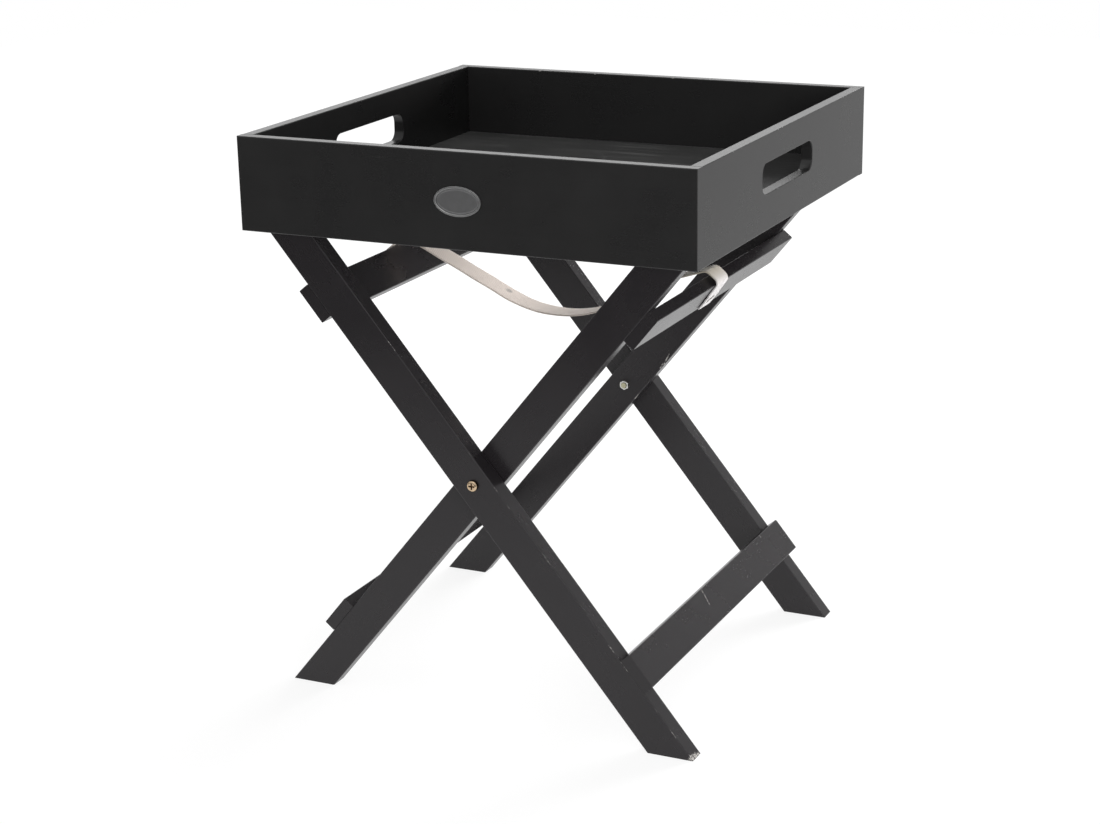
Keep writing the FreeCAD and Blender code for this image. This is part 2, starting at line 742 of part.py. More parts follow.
def rounded_stations(corners, bends):
    """Points of a path with rounded corners, each with its left normal: one end, then the start, middle and
    finish of each arc, then the other end."""
    runs = [(finish - start).normalize() for start, finish in zip(corners, corners[1:])]
    stations = [(corners[0], left_of(runs[0]))]
    for corner, bend, before, after in zip(corners[1:-1], bends, runs, runs[1:]):
        half_turn = before.getAngle(after) / 2
        inward = (after - before).normalize()
        halfway = (after + before).normalize()
        cut = bend * math.tan(half_turn)
        bulge = bend / math.cos(half_turn) - bend
        stations.append((corner - before * cut, left_of(before)))
        stations.append((corner + inward * bulge, left_of(halfway)))
        stations.append((corner + after * cut, left_of(after)))
    stations.append((corners[-1], left_of(runs[-1])))
    return stations


def path_edges(points):
    """Straight runs and arcs through the points of a rounded path."""
    edges = [Part.makeLine(points[0], points[1])]
    for index in range(1, len(points) - 1, 3):
        start, middle, finish, following = points[index:index + 4]
        edges.append(Part.Arc(start, middle, finish).toShape())
        edges.append(Part.makeLine(finish, following))
    return edges


def make_strap():
    """The webbing: a strip of even thickness along its route, with small holes where the staples pass."""
    stations = rounded_stations(*strap_route())
    half = value("sizes.strap_thickness") / 2
    upper = [point + normal * half for point, normal in stations]
    lower = [point - normal * half for point, normal in stations]
    edges = path_edges(upper) + path_edges(lower)
    edges.append(Part.makeLine(upper[0], lower[0]))
    edges.append(Part.makeLine(upper[-1], lower[-1]))
    strip = Part.Face(Part.Wire(Part.__sortEdges__(edges)))
    width = value("sizes.strap_width")
    strip.translate(FreeCAD.Vector(0, -width / 2, 0))
    webbing = strip.extrude(FreeCAD.Vector(0, width, 0))
    webbing = webbing.cut([hole for frame in FRAMES for hole in staple_holes(frame)])
    middle_line = Part.Wire(path_edges([point for point, normal in stations]))
    print("strap length %.1f, volume over width and thickness %.1f" % (
        middle_line.Length, webbing.Volume / width / value("sizes.strap_thickness")))
    strap = doc.addObject("Part::Feature", "strap_webbing")
    strap.Shape = webbing.Solids[0]
    keep(strap, "strap")


def staple_holes(frame):
    """Pins that clear one frame's staple legs out of the strap."""
    hand = FRAMES[frame]["side"]
    radius = value("places.staple_bore / 2")
    low = value(times(hand, "places.rail_face"))
    high = value(times(hand, "places.staple_top"))
    base = FreeCAD.Vector(-value("sizes.stand_shift"), 0, value("sizes.pivot_height"))
    turn = FreeCAD.Rotation(FreeCAD.Vector(0, 1, 0), value(FRAMES[frame]["turn"]))
    for along, y in staple_leg_places():
        foot = FreeCAD.Vector(value(along), value(y), min(low, high))
        hole = Part.makeCylinder(radius, abs(high - low), foot)
        hole.Placement = FreeCAD.Placement(base, turn).multiply(hole.Placement)
        yield hole


def check_and_write():
    """Stops on any failed object or bad solid, then writes each sub-part to its own file."""
    doc.recompute()
    for thing in doc.Objects:
        if "Invalid" in thing.State or "Error" in thing.State:
            raise RuntimeError("%s failed: %s" % (thing.Label, thing.State))
    for thing in subparts:
        shape = thing.Shape
        if shape.isNull() or not shape.isValid() or not shape.Solids:
            raise RuntimeError("%s has no valid solid" % thing.Label)
    os.makedirs("parts", exist_ok=True)
    for thing in subparts:
        thing.Shape.exportStep("parts/%s.step" % thing.Label)
        print(thing.Label, len(thing.Shape.Solids), "solids")


places = fill_sheet()
make_tray_boards()
make_bottom_panel()
make_corner_dowels()
make_badge()
for frame_name in FRAMES:
    for end_name, end_sign in (("front", -1), ("back", 1)):
        make_leg(frame_name, end_name, end_sign)
    for rail_name in RAILS:
        make_rail(frame_name, rail_name)
    make_rail_dowels(frame_name)
    make_staple(frame_name)
for end_name, end_sign in (("front", -1), ("back", 1)):
    make_bolt(end_name, end_sign)
    make_washer(end_name, end_sign)
    make_nut(end_name, end_sign)
make_strap()
check_and_write()
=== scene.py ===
# %% [markdown]
# A small black tray table on a folding stand, dressed for its portrait.
# The wood and the metal come from the CAD frame as finished solids, so this lesson gives them their paint and
# plating, and models the two things that a solid shows badly: the woven strap and the pressed badge.
# The frame is loaded first. Its box is kept.

# %% Load the frame
import math
import bpy
from mathutils import Matrix, Vector


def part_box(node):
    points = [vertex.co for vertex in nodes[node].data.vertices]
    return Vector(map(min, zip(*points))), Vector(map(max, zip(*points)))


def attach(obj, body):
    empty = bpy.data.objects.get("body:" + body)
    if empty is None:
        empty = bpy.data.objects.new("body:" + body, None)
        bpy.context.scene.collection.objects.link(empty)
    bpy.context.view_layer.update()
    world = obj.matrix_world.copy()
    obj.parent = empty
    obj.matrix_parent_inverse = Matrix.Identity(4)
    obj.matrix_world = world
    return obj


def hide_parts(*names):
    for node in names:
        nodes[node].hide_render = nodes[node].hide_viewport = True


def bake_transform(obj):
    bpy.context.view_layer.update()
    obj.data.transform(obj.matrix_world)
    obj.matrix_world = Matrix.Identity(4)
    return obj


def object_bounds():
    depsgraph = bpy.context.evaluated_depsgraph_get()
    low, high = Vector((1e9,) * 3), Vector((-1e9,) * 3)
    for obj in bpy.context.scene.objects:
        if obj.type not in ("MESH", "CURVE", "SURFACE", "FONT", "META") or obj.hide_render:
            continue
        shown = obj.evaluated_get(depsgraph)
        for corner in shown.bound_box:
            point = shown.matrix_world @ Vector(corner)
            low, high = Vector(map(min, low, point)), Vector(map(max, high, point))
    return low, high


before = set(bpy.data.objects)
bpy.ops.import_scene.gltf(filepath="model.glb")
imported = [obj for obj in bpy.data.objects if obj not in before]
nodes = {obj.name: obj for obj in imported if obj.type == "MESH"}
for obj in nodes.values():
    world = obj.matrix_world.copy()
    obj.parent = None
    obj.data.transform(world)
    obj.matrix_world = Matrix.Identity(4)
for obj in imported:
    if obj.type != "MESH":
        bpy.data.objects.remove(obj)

cad_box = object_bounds()
print("frame:", len(nodes), "nodes, from", tuple(cad_box[0]), "to", tuple(cad_box[1]))

# %% [markdown]
# The photograph was taken a little to the right of the badge, from above the tray's rim, with a long lens.
# A camera could be aimed by eye, but straight edges give it away at once. Here the place, the turn and the
# lens were worked out from the table's corners in the photograph, and the frame's middle lies off the lens
# axis, which is what the two shift values say.

# %% Camera
PHOTO_WIDTH = 1100
PHOTO_HEIGHT = 824
LENS_PIXELS = 2277.17
LENS_AXIS = (552.02, 456.41)
SENSOR = 36.0
camera_place = Vector((0.8125, -1.7426, 0.8217))
camera_heading = math.radians(25.485)
camera_dip = math.radians(18.317)
camera_roll = math.radians(-1.046)

camera_turn = (
    Matrix.Rotation(camera_heading, 4, "Z")
    @ Matrix.Rotation(math.pi / 2 - camera_dip, 4, "X")
    @ Matrix.Rotation(camera_roll, 4, "Z")
)
bpy.ops.object.camera_add(location=camera_place, rotation=camera_turn.to_euler())
camera = bpy.context.object
camera.name = "portrait_camera"
camera.data.sensor_width = SENSOR
camera.data.lens = LENS_PIXELS * SENSOR / PHOTO_WIDTH
camera.data.shift_x = (PHOTO_WIDTH / 2 - LENS_AXIS[0]) / PHOTO_WIDTH
camera.data.shift_y = (LENS_AXIS[1] - PHOTO_HEIGHT / 2) / PHOTO_WIDTH
bpy.context.scene.camera = camera
bpy.context.scene.view_settings.view_transform = "Standard"
print("camera: lens %.1f mm" % camera.data.lens)

# %% [markdown]
# A finish is a small network of nodes. Adding and joining each node by hand takes four lines, which hides
# what the network does, so this helper keeps one network and adds a node in one line: a value goes to a
# socket as it is, and another node's output is linked to it. This half of it works with numbers and vectors.

# %% A helper for networks
VALUE_OUTPUTS = ("DOT_PRODUCT", "DISTANCE", "LENGTH")


class Network:
    """The nodes of a material or a world, with short ways to add more of them."""

    def __init__(self, name, owner=None):
        self.owner = owner or bpy.data.materials.new(name)
        self.owner.use_nodes = True
        self.tree = self.owner.node_tree
        self.tree.nodes.clear()

    def node(self, kind, inputs=None, **options):
        """Adds a node, sets its options, then sets or links its inputs."""
        made = self.tree.nodes.new("ShaderNode" + kind)
        for option, setting in options.items():
            setattr(made, option, setting)
        for name, value in (inputs or {}).items():
            if isinstance(value, bpy.types.NodeSocket):
                self.tree.links.new(value, made.inputs[name])
            else:
                made.inputs[name].default_value = value
        return made

    def math(self, operation, *values, clamp=False):
        """Arithmetic on numbers."""
        return self.node("Math", dict(enumerate(values)), operation=operation, use_clamp=clamp).outputs[0]

    def times(self, first, second):
        """The product of two numbers."""
        return self.math("MULTIPLY", first, second)

    def weighed(self, *parts, plus=0.0):
        """The sum of several numbers, each times its weight, and of one more."""
        total = plus
        for value, weight in parts:
            total = self.math("MULTIPLY_ADD", value, weight, total)
        return total

    def most(self, *values):
        """The largest of several numbers."""
        largest = values[0]
        for value in values[1:]:
            largest = self.math("MAXIMUM", largest, value)
        return largest

    def ease(self, value, low, high, start=0.0, finish=1.0):
        """Goes smoothly from start to finish while the value goes from low to high."""
        inputs = {0: value, 1: low, 2: high, 3: start, 4: finish}
        return self.node("MapRange", inputs, interpolation_type="SMOOTHSTEP").outputs[0]

    def vector(self, operation, *values):
        """Arithmetic on vectors. The last value of SCALE is a number."""
        inputs = dict(enumerate(values))
        if operation == "SCALE":
            inputs = {0: values[0], "Scale": values[1]}
        made = self.node("VectorMath", inputs, operation=operation)
        return made.outputs["Value" if operation in VALUE_OUTPUTS else "Vector"]

    def parts(self, vector):
        """The X, Y and Z of a vector."""
        return self.node("SeparateXYZ", {0: vector}).outputs


def ways_to_add(helper):
    """How many methods a helper has of its own."""
    return len([name for name in vars(helper) if name[0] != "_"])


print("networks:", ways_to_add(Network), "ways to add nodes")

# %% [markdown]
# The other half adds what a surface needs: a place to measure from, patterns, colours, relief and the shader.
# A place is measured from the middle of a piece, along axes that can be turned with it, so a pattern stays
# where it belongs when the piece moves. The Mix node has a pair of sockets for each kind of value, all with
# the same names, so the ones for colours are found by their numbers.

# %% A helper for finishes
MIX_FIRST_COLOUR = 6
MIX_SECOND_COLOUR = 7
MIX_COLOUR_OUTPUT = 2


class Finish(Network):
    """A network that makes the look of a surface."""

    def noise(self, spot, scale, detail=2.0, roughness=0.5):
        """Cloudy noise between 0 and 1."""
        inputs = {"Vector": spot, "Scale": scale, "Detail": detail, "Roughness": roughness}
        return self.node("TexNoise", inputs).outputs[0]

    def mix(self, share, first, second):
        """A colour between two colours."""
        inputs = {0: share, MIX_FIRST_COLOUR: first, MIX_SECOND_COLOUR: second}
        return self.node("Mix", inputs, data_type="RGBA").outputs[MIX_COLOUR_OUTPUT]

    def object_spot(self, middle=(0, 0, 0), turn=0.0):
        """Object coordinates measured from a middle, along axes turned about Y."""
        spot = self.node("TexCoord").outputs["Object"]
        inputs = {"Vector": spot, "Location": middle, "Rotation": (0, turn, 0)}
        return self.node("Mapping", inputs, vector_type="TEXTURE").outputs[0]

    def stretched(self, spot, scales):
        """The same spot with each axis scaled, which stretches a pattern along the axis scaled least."""
        return self.node("Mapping", {"Vector": spot, "Scale": scales}, vector_type="POINT").outputs[0]

    def bump(self, height, distance, strength=1.0, under=None):
        """A relief of a given depth, on top of another one."""
        inputs = {"Height": height, "Distance": distance, "Strength": strength}
        if under is not None:
            inputs["Normal"] = under
        return self.node("Bump", inputs).outputs[0]

    def surface(self, **inputs):
        """Ends the network in a Principled shader."""
        named = {name.replace("_", " "): value for name, value in inputs.items()}
        shader = self.node("BsdfPrincipled", named)
        self.node("OutputMaterial", {"Surface": shader.outputs[0]})
        return self.owner


print("finishes:", ways_to_add(Finish), "more ways to add nodes")

# %% [markdown]
# The studio floor is a white sweep, as for a catalogue picture. More lamps could make it white, but they
# would also wash out the table. Instead the floor itself glows where the camera or a mirror sees it, and is
# plain matt white for the light that falls on it and bounces off. The matt part that is seen keeps the
# table's shadow.

# %% White floor
FLOOR_HALF_WIDTH = 3.0
FLOOR_FRONT = -1.0
FLOOR_BACK = 4.0
FLOOR_SHADE = (0.80, 0.80, 0.80, 1)
FLOOR_SEEN_SHADE = (0.18, 0.18, 0.18, 1)
GLOW_SEEN = (0.85, 0.96)
GLOW_MIRRORED = (0.70, 0.52)
GLOW_REACH = (0.45, 1.3)
WHITE = (1, 1, 1, 1)


def seen_directly(finish):
    """1 for what the camera sees itself, in a mirror or through glass, and 0 for light that it casts."""
    path = finish.node("LightPath").outputs
    return finish.most(path["Is Camera Ray"], path["Is Glossy Ray"], path["Is Transmission Ray"])


bpy.ops.object.select_all(action="DESELECT")
bpy.ops.mesh.primitive_plane_add(size=1, location=(0, (FLOOR_FRONT + FLOOR_BACK) / 2, 0))
floor = bpy.context.object
floor.name = "floor"
floor.scale = (2 * FLOOR_HALF_WIDTH, FLOOR_BACK - FLOOR_FRONT, 1)
bpy.ops.object.transform_apply(location=True, rotation=True, scale=True)

floor_finish = Finish("white_floor")
from_table = floor_finish.vector("LENGTH", floor_finish.object_spot())
glow_seen = floor_finish.ease(from_table, *GLOW_REACH, *GLOW_SEEN)
glow_mirrored = floor_finish.ease(from_table, *GLOW_REACH, *GLOW_MIRRORED)
in_mirror = floor_finish.node("LightPath").outputs["Is Glossy Ray"]
glow = floor_finish.ease(in_mirror, 0.0, 1.0, glow_seen, glow_mirrored)
seen = seen_directly(floor_finish)
matt = floor_finish.node("BsdfDiffuse", {"Color": floor_finish.mix(seen, FLOOR_SHADE, FLOOR_SEEN_SHADE)})
light = floor_finish.node("Emission", {"Color": WHITE, "Strength": floor_finish.times(seen, glow)})
both = floor_finish.node("AddShader", {0: matt.outputs[0], 1: light.outputs[0]})
floor_finish.node("OutputMaterial", {"Surface": both.outputs[0]})
floor_finish.owner.cycles.emission_sampling = "NONE"
floor.data.materials.append(floor_finish.owner)
print("floor: %.0f m wide and %.0f m deep" % (2 * FLOOR_HALF_WIDTH, FLOOR_BACK - FLOOR_FRONT))

# %% [markdown]
# Black paint shows little of its own colour: what is seen on it is the room, mirrored weakly face on and
# strongly at a slant. So the room matters more than the lamps. In a mirror it is dim in front of the table,
# bright behind it near the horizon and fading with height, and bright again overhead, a little towards the
# front, which is what makes the tray's upper edges shine. The camera itself sees plain white.

# %% White room
ROOM_LOW = 0.88
ROOM_HIGH = 0.35
CAST_FADE = (0.1, 0.5)
ROOM_FRONT = 0.04
ROOM_BACK = 0.65
FRONT_TO_BACK = (-0.9, 0.1)
BACK_FADE = (0.2, 0.5)
BACK_HIGH_SHARE = 0.2
ROOM_OVERHEAD = 0.75
OVERHEAD_FADE = (0.3, 0.6)
OVERHEAD_LEAN = -0.4

room = bpy.data.worlds.new("white_room")
bpy.context.scene.world = room
room_finish = Finish("white_room", owner=room)
path = room_finish.node("LightPath").outputs
direction = room_finish.parts(room_finish.node("TexCoord").outputs["Generated"])
behind = room_finish.ease(direction["Y"], *FRONT_TO_BACK, ROOM_FRONT, ROOM_BACK)
behind = room_finish.times(behind, room_finish.ease(direction["Z"], *BACK_FADE, 1.0, BACK_HIGH_SHARE))
steep = room_finish.math("MULTIPLY_ADD", direction["Y"], OVERHEAD_LEAN, direction["Z"])
mirrored = room_finish.most(behind, room_finish.ease(steep, *OVERHEAD_FADE, 0.0, ROOM_OVERHEAD))
mirrored = room_finish.times(mirrored, path["Is Glossy Ray"])
plain = room_finish.most(path["Is Camera Ray"], path["Is Transmission Ray"])
cast = room_finish.math("SUBTRACT", 1.0, seen_directly(room_finish))
cast = room_finish.times(cast, room_finish.ease(direction["Z"], *CAST_FADE, ROOM_LOW, ROOM_HIGH))
level = room_finish.math("ADD", room_finish.math("ADD", mirrored, plain), cast)
background = room_finish.node("Background", {"Color": WHITE, "Strength": level})
room_finish.node("OutputWorld", {"Surface": background.outputs[0]})
room.cycles.sampling_method = "NONE"
print("room: white, casting most light from near the horizon")

# %% [markdown]
# Studio lamps sit in soft boxes, wide white rectangles that leave soft shadows. Two of them light the whole
# table. The strap is matt cloth between black bars, so two narrow ones are aimed at it alone, one from the
# front and one from behind. These two are hidden from mirrors, or they would leave highlights on the paint.

# %% Soft boxes
NARROW = math.radians(80)
STRAP_TARGET = (0.0, -0.014, 0.34)


def soft_box(name, place, target, width, height, radiance, spread=math.pi, mirrored=True):
    """A rectangular lamp that faces a target, with the power that gives it its radiance straight ahead."""
    turn = (Vector(target) - Vector(place)).to_track_quat("-Z", "Y").to_euler()
    bpy.ops.object.light_add(type="AREA", location=place, rotation=turn)
    lamp = bpy.context.object
    lamp.name = name
    lamp.data.shape = "RECTANGLE"
    lamp.data.size = width
    lamp.data.size_y = height
    lamp.data.spread = spread
    lamp.data.energy = radiance * math.pi * width * height * (1 - spread / 2 / math.tan(spread / 2))
    lamp.visible_camera = False
    lamp.visible_glossy = mirrored
    print("%s: %.1f x %.1f m, radiance %.1f" % (name, width, height, radiance))


table_middle = (cad_box[0] + cad_box[1]) / 2
soft_box("soft_box_above", place=(0.5, -0.5, 2.4), target=table_middle, width=1.6, height=1.6, radiance=0.9)
soft_box("soft_box_behind", place=(-0.9, 2.6, 1.55), target=table_middle, width=2.6, height=1.0, radiance=1.4)
soft_box("soft_box_front", place=(1.25, -1.85, 0.66), target=STRAP_TARGET, width=1.2, height=0.8,
         radiance=13.5, spread=NARROW, mirrored=False)
soft_box("soft_box_low", place=(0.55, 1.95, 0.74), target=STRAP_TARGET, width=1.4, height=0.7,
         radiance=40.0, spread=NARROW, mirrored=False)

# %% [markdown]
# Paint wears first along edges. Every board, leg and rail is a straight bar, so one recipe serves them all
# if it knows where the bar's middle is, how it is turned and how large it is. From these the network works
# out how near a point is to an edge: on a bar's surface, the second largest of the three overshoots
# |x| - half width, |y| - half depth and |z| - half height is minus the distance to the nearest edge.
# A bevel node or an ambient occlusion node could find edges too, but these few sums also suit an export.
# A scratch is a line between two points, so the distance to that line finds it, and noise breaks it into
# specks.

# %% Edges and strokes
RAGGED_SCALE = 600.0
RAGGED_REACH = 1.6
STROKE_OUTSIDE = 1.8
STROKE_INSIDE = 1.2
SPECK_SCALE = 650.0
SPECK_BAND = (0.42, 0.56)
SPECK_FAINTEST = 0.08


def edge_nearness(finish, spot, half, reach):
    """1 on an edge of a bar, falling to 0 at a reach from it."""
    x, y, z = finish.parts(finish.vector("SUBTRACT", finish.vector("ABSOLUTE", spot), half))
    pairs = [finish.math("MINIMUM", one, two) for one, two in ((x, y), (y, z), (x, z))]
    return finish.ease(finish.most(*pairs), -reach, 0.0)


def stroke(finish, spot, start, end, half_width):
    """1 on a thin stroke between two points of a piece, broken up into specks, and 0 away from it."""
    run = Vector(end) - Vector(start)
    from_start = finish.vector("SUBTRACT", spot, start)
    share = finish.vector("DOT_PRODUCT", from_start, run)
    share = finish.math("DIVIDE", share, run.length_squared, clamp=True)
    gap = finish.vector("DISTANCE", from_start, finish.vector("SCALE", run, share))
    gap = finish.weighed((finish.noise(spot, RAGGED_SCALE), RAGGED_REACH * half_width), plus=gap)
    near = finish.ease(gap, STROKE_OUTSIDE * half_width, STROKE_INSIDE * half_width)
    return finish.times(near, finish.ease(finish.noise(spot, SPECK_SCALE), *SPECK_BAND, SPECK_FAINTEST, 1.0))


print("strokes: broken into specks of about %.1f mm" % (1000 / SPECK_SCALE))

# %% [markdown]
# The paint itself is satin black. A flat black would do from afar, but real paint is never even: it has soft
# clouds, the grain of what is under it, a fine stipple from the roller, nibs of dust, and chips down to the
# pale fibre. The same noises that change its colour a little also change how sharply it mirrors the room.
# Noises are given by their scale, detail and roughness.

# %% Black paint on a bar
PAINT_DARK = (0.0095, 0.0093, 0.0095, 1)
PAINT_PALE = (0.0165, 0.0162, 0.0162, 1)
EDGE_LIGHT_PAINT = (0.040, 0.038, 0.040, 1)
BARE_FIBRE = (0.56, 0.54, 0.51, 1)
PLAIN_TINT = (1, 1, 1)
PAINT_IOR = 1.47
MOTTLE = (14.0, 4.0, 0.6)
GRAIN = (1.0, 3.0, 0.6)
STIPPLE = (1300.0, 1.0)
STIPPLE_DEPTH = 0.0000025
STIPPLE_STRENGTH = 0.3
MOTTLE_TONE = 0.85
GRAIN_TONE = 0.15
MOTTLE_SHEEN = 0.10
GRAIN_SHEEN = 0.02
MEAN_SHEEN = 0.06
EDGE_REACH = 0.0014
PATCHES = (210.0, 3.0, 0.65)
KNOCKS = (23.0, 1.0)
KNOCK_WEIGHT = 0.7
WORN_FROM = 1.12
WORN_THROUGH = 1.24
NIB_SCALE = 70.0
NIB_SIZE = (0.045, 0.02)
NIB_PICK = (0.93, 0.94)
NIB_BARENESS = 0.25
BARE_SHEEN = 0.4
CHIP_DEPTH = 0.00015


def paint(name, middle, half, turn, grain_scales, grain_depth, wear, roughness, strokes=(), tint=PLAIN_TINT,
          edge_light=0.0):
    """Satin black paint on a bar. Each stroke is a start, an end, a half width and how bare it is. The tint
    multiplies the paint's colour, and the last argument is how far its edges are painted paler, a painted
    highlight."""
    finish = Finish(name)
    spot = finish.object_spot(middle, turn)
    mottle = finish.noise(spot, *MOTTLE)
    grain = finish.noise(finish.stretched(spot, grain_scales), *GRAIN)
    edge = edge_nearness(finish, spot, half, EDGE_REACH)
    knocked = finish.weighed((finish.noise(spot, *KNOCKS), KNOCK_WEIGHT), plus=finish.noise(spot, *PATCHES))
    worn = finish.times(edge, finish.ease(knocked, WORN_FROM - wear, WORN_THROUGH - wear))
    nib = finish.node("TexVoronoi", {"Vector": spot, "Scale": NIB_SCALE})
    pick = finish.node("SeparateColor", {0: nib.outputs["Color"]}).outputs[0]
    dot = finish.times(finish.ease(nib.outputs["Distance"], *NIB_SIZE), finish.ease(pick, *NIB_PICK))
    bare = finish.most(worn, finish.times(dot, NIB_BARENESS))
    for start, end, half_width, bareness in strokes:
        bare = finish.most(bare, finish.times(stroke(finish, spot, start, end, half_width), bareness))

    tone = finish.mix(finish.weighed((mottle, MOTTLE_TONE), (grain, GRAIN_TONE)), PAINT_DARK, PAINT_PALE)
    tone = finish.vector("MULTIPLY", tone, tint)
    # Along its edges the paint is made paler: a painted highlight.
    tone = finish.mix(finish.times(edge, edge_light), tone, EDGE_LIGHT_PAINT)
    colour = finish.mix(bare, tone, BARE_FIBRE)
    sheen = finish.weighed((mottle, MOTTLE_SHEEN), (grain, GRAIN_SHEEN), (bare, BARE_SHEEN),
                           plus=roughness - MEAN_SHEEN)
    relief = finish.bump(grain, grain_depth)
    relief = finish.bump(finish.noise(spot, *STIPPLE), STIPPLE_DEPTH, STIPPLE_STRENGTH, relief)
    relief = finish.bump(bare, -CHIP_DEPTH, under=relief)
    return finish.surface(Base_Color=colour, Roughness=sheen, IOR=PAINT_IOR, Normal=relief)


print("paint: satin black, refractive index", PAINT_IOR)

# %% [markdown]
# The tray is made of smooth board, so its paint shows roller stipple and only a hint of direction. Two faint
# scuffs are on the front board, and three small chips on the rim of the back board. The left board is painted
# a little darker than the others, a painted shade meant for its inner wall.

# %% Tray boards
BOARD_GRAIN = 0.0000015
BOARD_WEAR = 0.0
BOARD_ROUGHNESS = 0.28
GRAIN_ALONG_X = (9, 160, 240)
GRAIN_ALONG_Y = (160, 9, 240)
# The left board's darker tint is a painted shade.
LEFT_SHADE_TINT = (0.6, 0.6, 0.6)
SCUFF_BARENESS = 0.012
RIM_CHIPS = (-0.1148, -0.0578, 0.0202)
CHIP_LENGTH = 0.0016
CHIP_DROP = 0.0002
CHIP_HALF_WIDTH = 0.0007
CHIP_BARENESS = 0.8


def bar_of(node_name):
    """The middle and the half size of an upright node's box."""
    low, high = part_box(node_name)
    return (low + high) / 2, (high - low) / 2


def dress(node_name, material):
    """Gives a CAD node its finish."""
    slots = nodes[node_name].data.materials
    slots.clear()
    slots.append(material)


board_half = bar_of("tray_back_board")[1]
face = -board_half.y
rim = board_half.z
tray_strokes = {
    "front": [
        ((-0.0937, face, -0.006), (-0.0943, face, 0.0055), 0.0004, SCUFF_BARENESS),
        ((-0.072, face, 0.0301), (-0.061, face, 0.0308), 0.0006, SCUFF_BARENESS),
    ],
    "back": [((x, face, rim - CHIP_DROP), (x + CHIP_LENGTH, face, rim), CHIP_HALF_WIDTH, CHIP_BARENESS)
             for x in RIM_CHIPS],
}
tray_grains = {"front": GRAIN_ALONG_X, "back": GRAIN_ALONG_X, "left": GRAIN_ALONG_Y, "right": GRAIN_ALONG_Y}
for side, grain_scales in tray_grains.items():
    board = "tray_%s_board" % side
    middle, half = bar_of(board)
    dress(board, paint("tray_paint." + side, middle, half, 0.0, grain_scales, BOARD_GRAIN, BOARD_WEAR,
                       BOARD_ROUGHNESS, strokes=tray_strokes.get(side, ()),
                       tint=LEFT_SHADE_TINT if side == "left" else PLAIN_TINT))
print("painted:", len(tray_grains), "tray boards")

# %% [markdown]
# The bed has been wiped and used: long wiping streaks run across the tray, and glasses have left faint rings.
# A ring is the set of points at one distance from a middle, so a distance node and a narrow band make it.
# Beside the right-hand wall the bed is painted darker, a painted shade from that wall.

# %% Bed of the tray
RINGS = [((0.135, 0.155), 0.034), ((-0.05, 0.10), 0.038), ((0.02, -0.06), 0.036)]
RING_WIDTH = 0.0016
RING_CORE = 0.2
RING_BREAKS = 60.0
RING_BREAK_BAND = (0.35, 0.6)
RING_PALENESS = 0.4
STREAK_SCALES = (6, 230, 230)
STREAK = (1.0, 5.0, 0.7)
STREAK_BAND = (0.46, 0.66)
STREAK_DEPTH = 0.00003
CLOUDS = (11.0, 4.0, 0.6)
CLOUD_BAND = (0.3, 0.6)
DUST_PALENESS = 0.7
WALL_SHADE_REACH = (0.03, 0.17)
WALL_SHADE_SHARE = 0.75
BED_DARK = (0.045, 0.045, 0.045, 1)
BED_PALE = (0.072, 0.072, 0.072, 1)
BED_DUST = (0.18, 0.18, 0.178, 1)
BED_ROUGHNESS = 0.28
CLOUD_SHEEN = 0.12
DUST_SHEEN = 0.22
BED_STIPPLE_DEPTH = 0.000006
BED_STIPPLE_STRENGTH = 0.6


def bed_paint(name, middle):
    """Satin black paint with wiping streaks, glass rings and painted shade beside the right-hand wall."""
    finish = Finish(name)
    spot = finish.object_spot(middle)
    streak = finish.noise(finish.stretched(spot, STREAK_SCALES), *STREAK)
    cloud = finish.noise(spot, *CLOUDS)
    flat = finish.vector("MULTIPLY", spot, (1, 1, 0))
    broken = finish.ease(finish.noise(spot, RING_BREAKS), *RING_BREAK_BAND)
    rings = []
    for (x, y), radius in RINGS:
        away = finish.vector("DISTANCE", flat, (x, y, 0))
        off = finish.math("ABSOLUTE", finish.math("SUBTRACT", away, radius))
        rings.append(finish.times(finish.ease(off, RING_WIDTH, RING_CORE * RING_WIDTH), broken))
    dust = finish.times(finish.ease(streak, *STREAK_BAND), finish.ease(cloud, *CLOUD_BAND))
    pale = finish.most(finish.times(dust, DUST_PALENESS), finish.times(finish.most(*rings), RING_PALENESS))
    colour = finish.mix(pale, finish.mix(cloud, BED_DARK, BED_PALE), BED_DUST)
    # Beside the right-hand wall the bed is painted darker: a painted shade.
    wall_shade = finish.times(finish.ease(finish.parts(spot)["X"], *WALL_SHADE_REACH), WALL_SHADE_SHARE)
    colour = finish.mix(wall_shade, colour, PAINT_DARK)
    sheen = finish.weighed((cloud, CLOUD_SHEEN), (pale, DUST_SHEEN), plus=BED_ROUGHNESS)
    relief = finish.bump(streak, STREAK_DEPTH)
    relief = finish.bump(finish.noise(spot, *STIPPLE), BED_STIPPLE_DEPTH, BED_STIPPLE_STRENGTH, relief)
    return finish.surface(Base_Color=colour, Roughness=sheen, IOR=PAINT_IOR, Normal=relief)


dress("tray_bottom_panel", bed_paint("bed_paint", bar_of("tray_bottom_panel")[0]))
print("painted: the bed, with", len(RINGS), "rings")

# %% [markdown]
# The stand has been knocked about, and the photograph shows where: the front leg has lost flakes along its
# upper edge and is worn to the wood at the tip of its foot, the bottom rail has a scratch, and the back leg
# is splintered and chipped beside its pivot. A picture of the marks could be laid over the legs, but strokes
# stay sharp from close by. Marks on a leg are placed by their distance up the leg from the pivot.

# %% Marks on the stand
LEG_HALF_WIDTH = 0.01575
LEG_HALF_DEPTH = 0.0085
RAIL_HALF_THICKNESS = 0.00525
leg_front = -LEG_HALF_DEPTH
leg_edge = -LEG_HALF_WIDTH
rail_face = -RAIL_HALF_THICKNESS

FLAKE_HALF_WIDTH = 0.0005
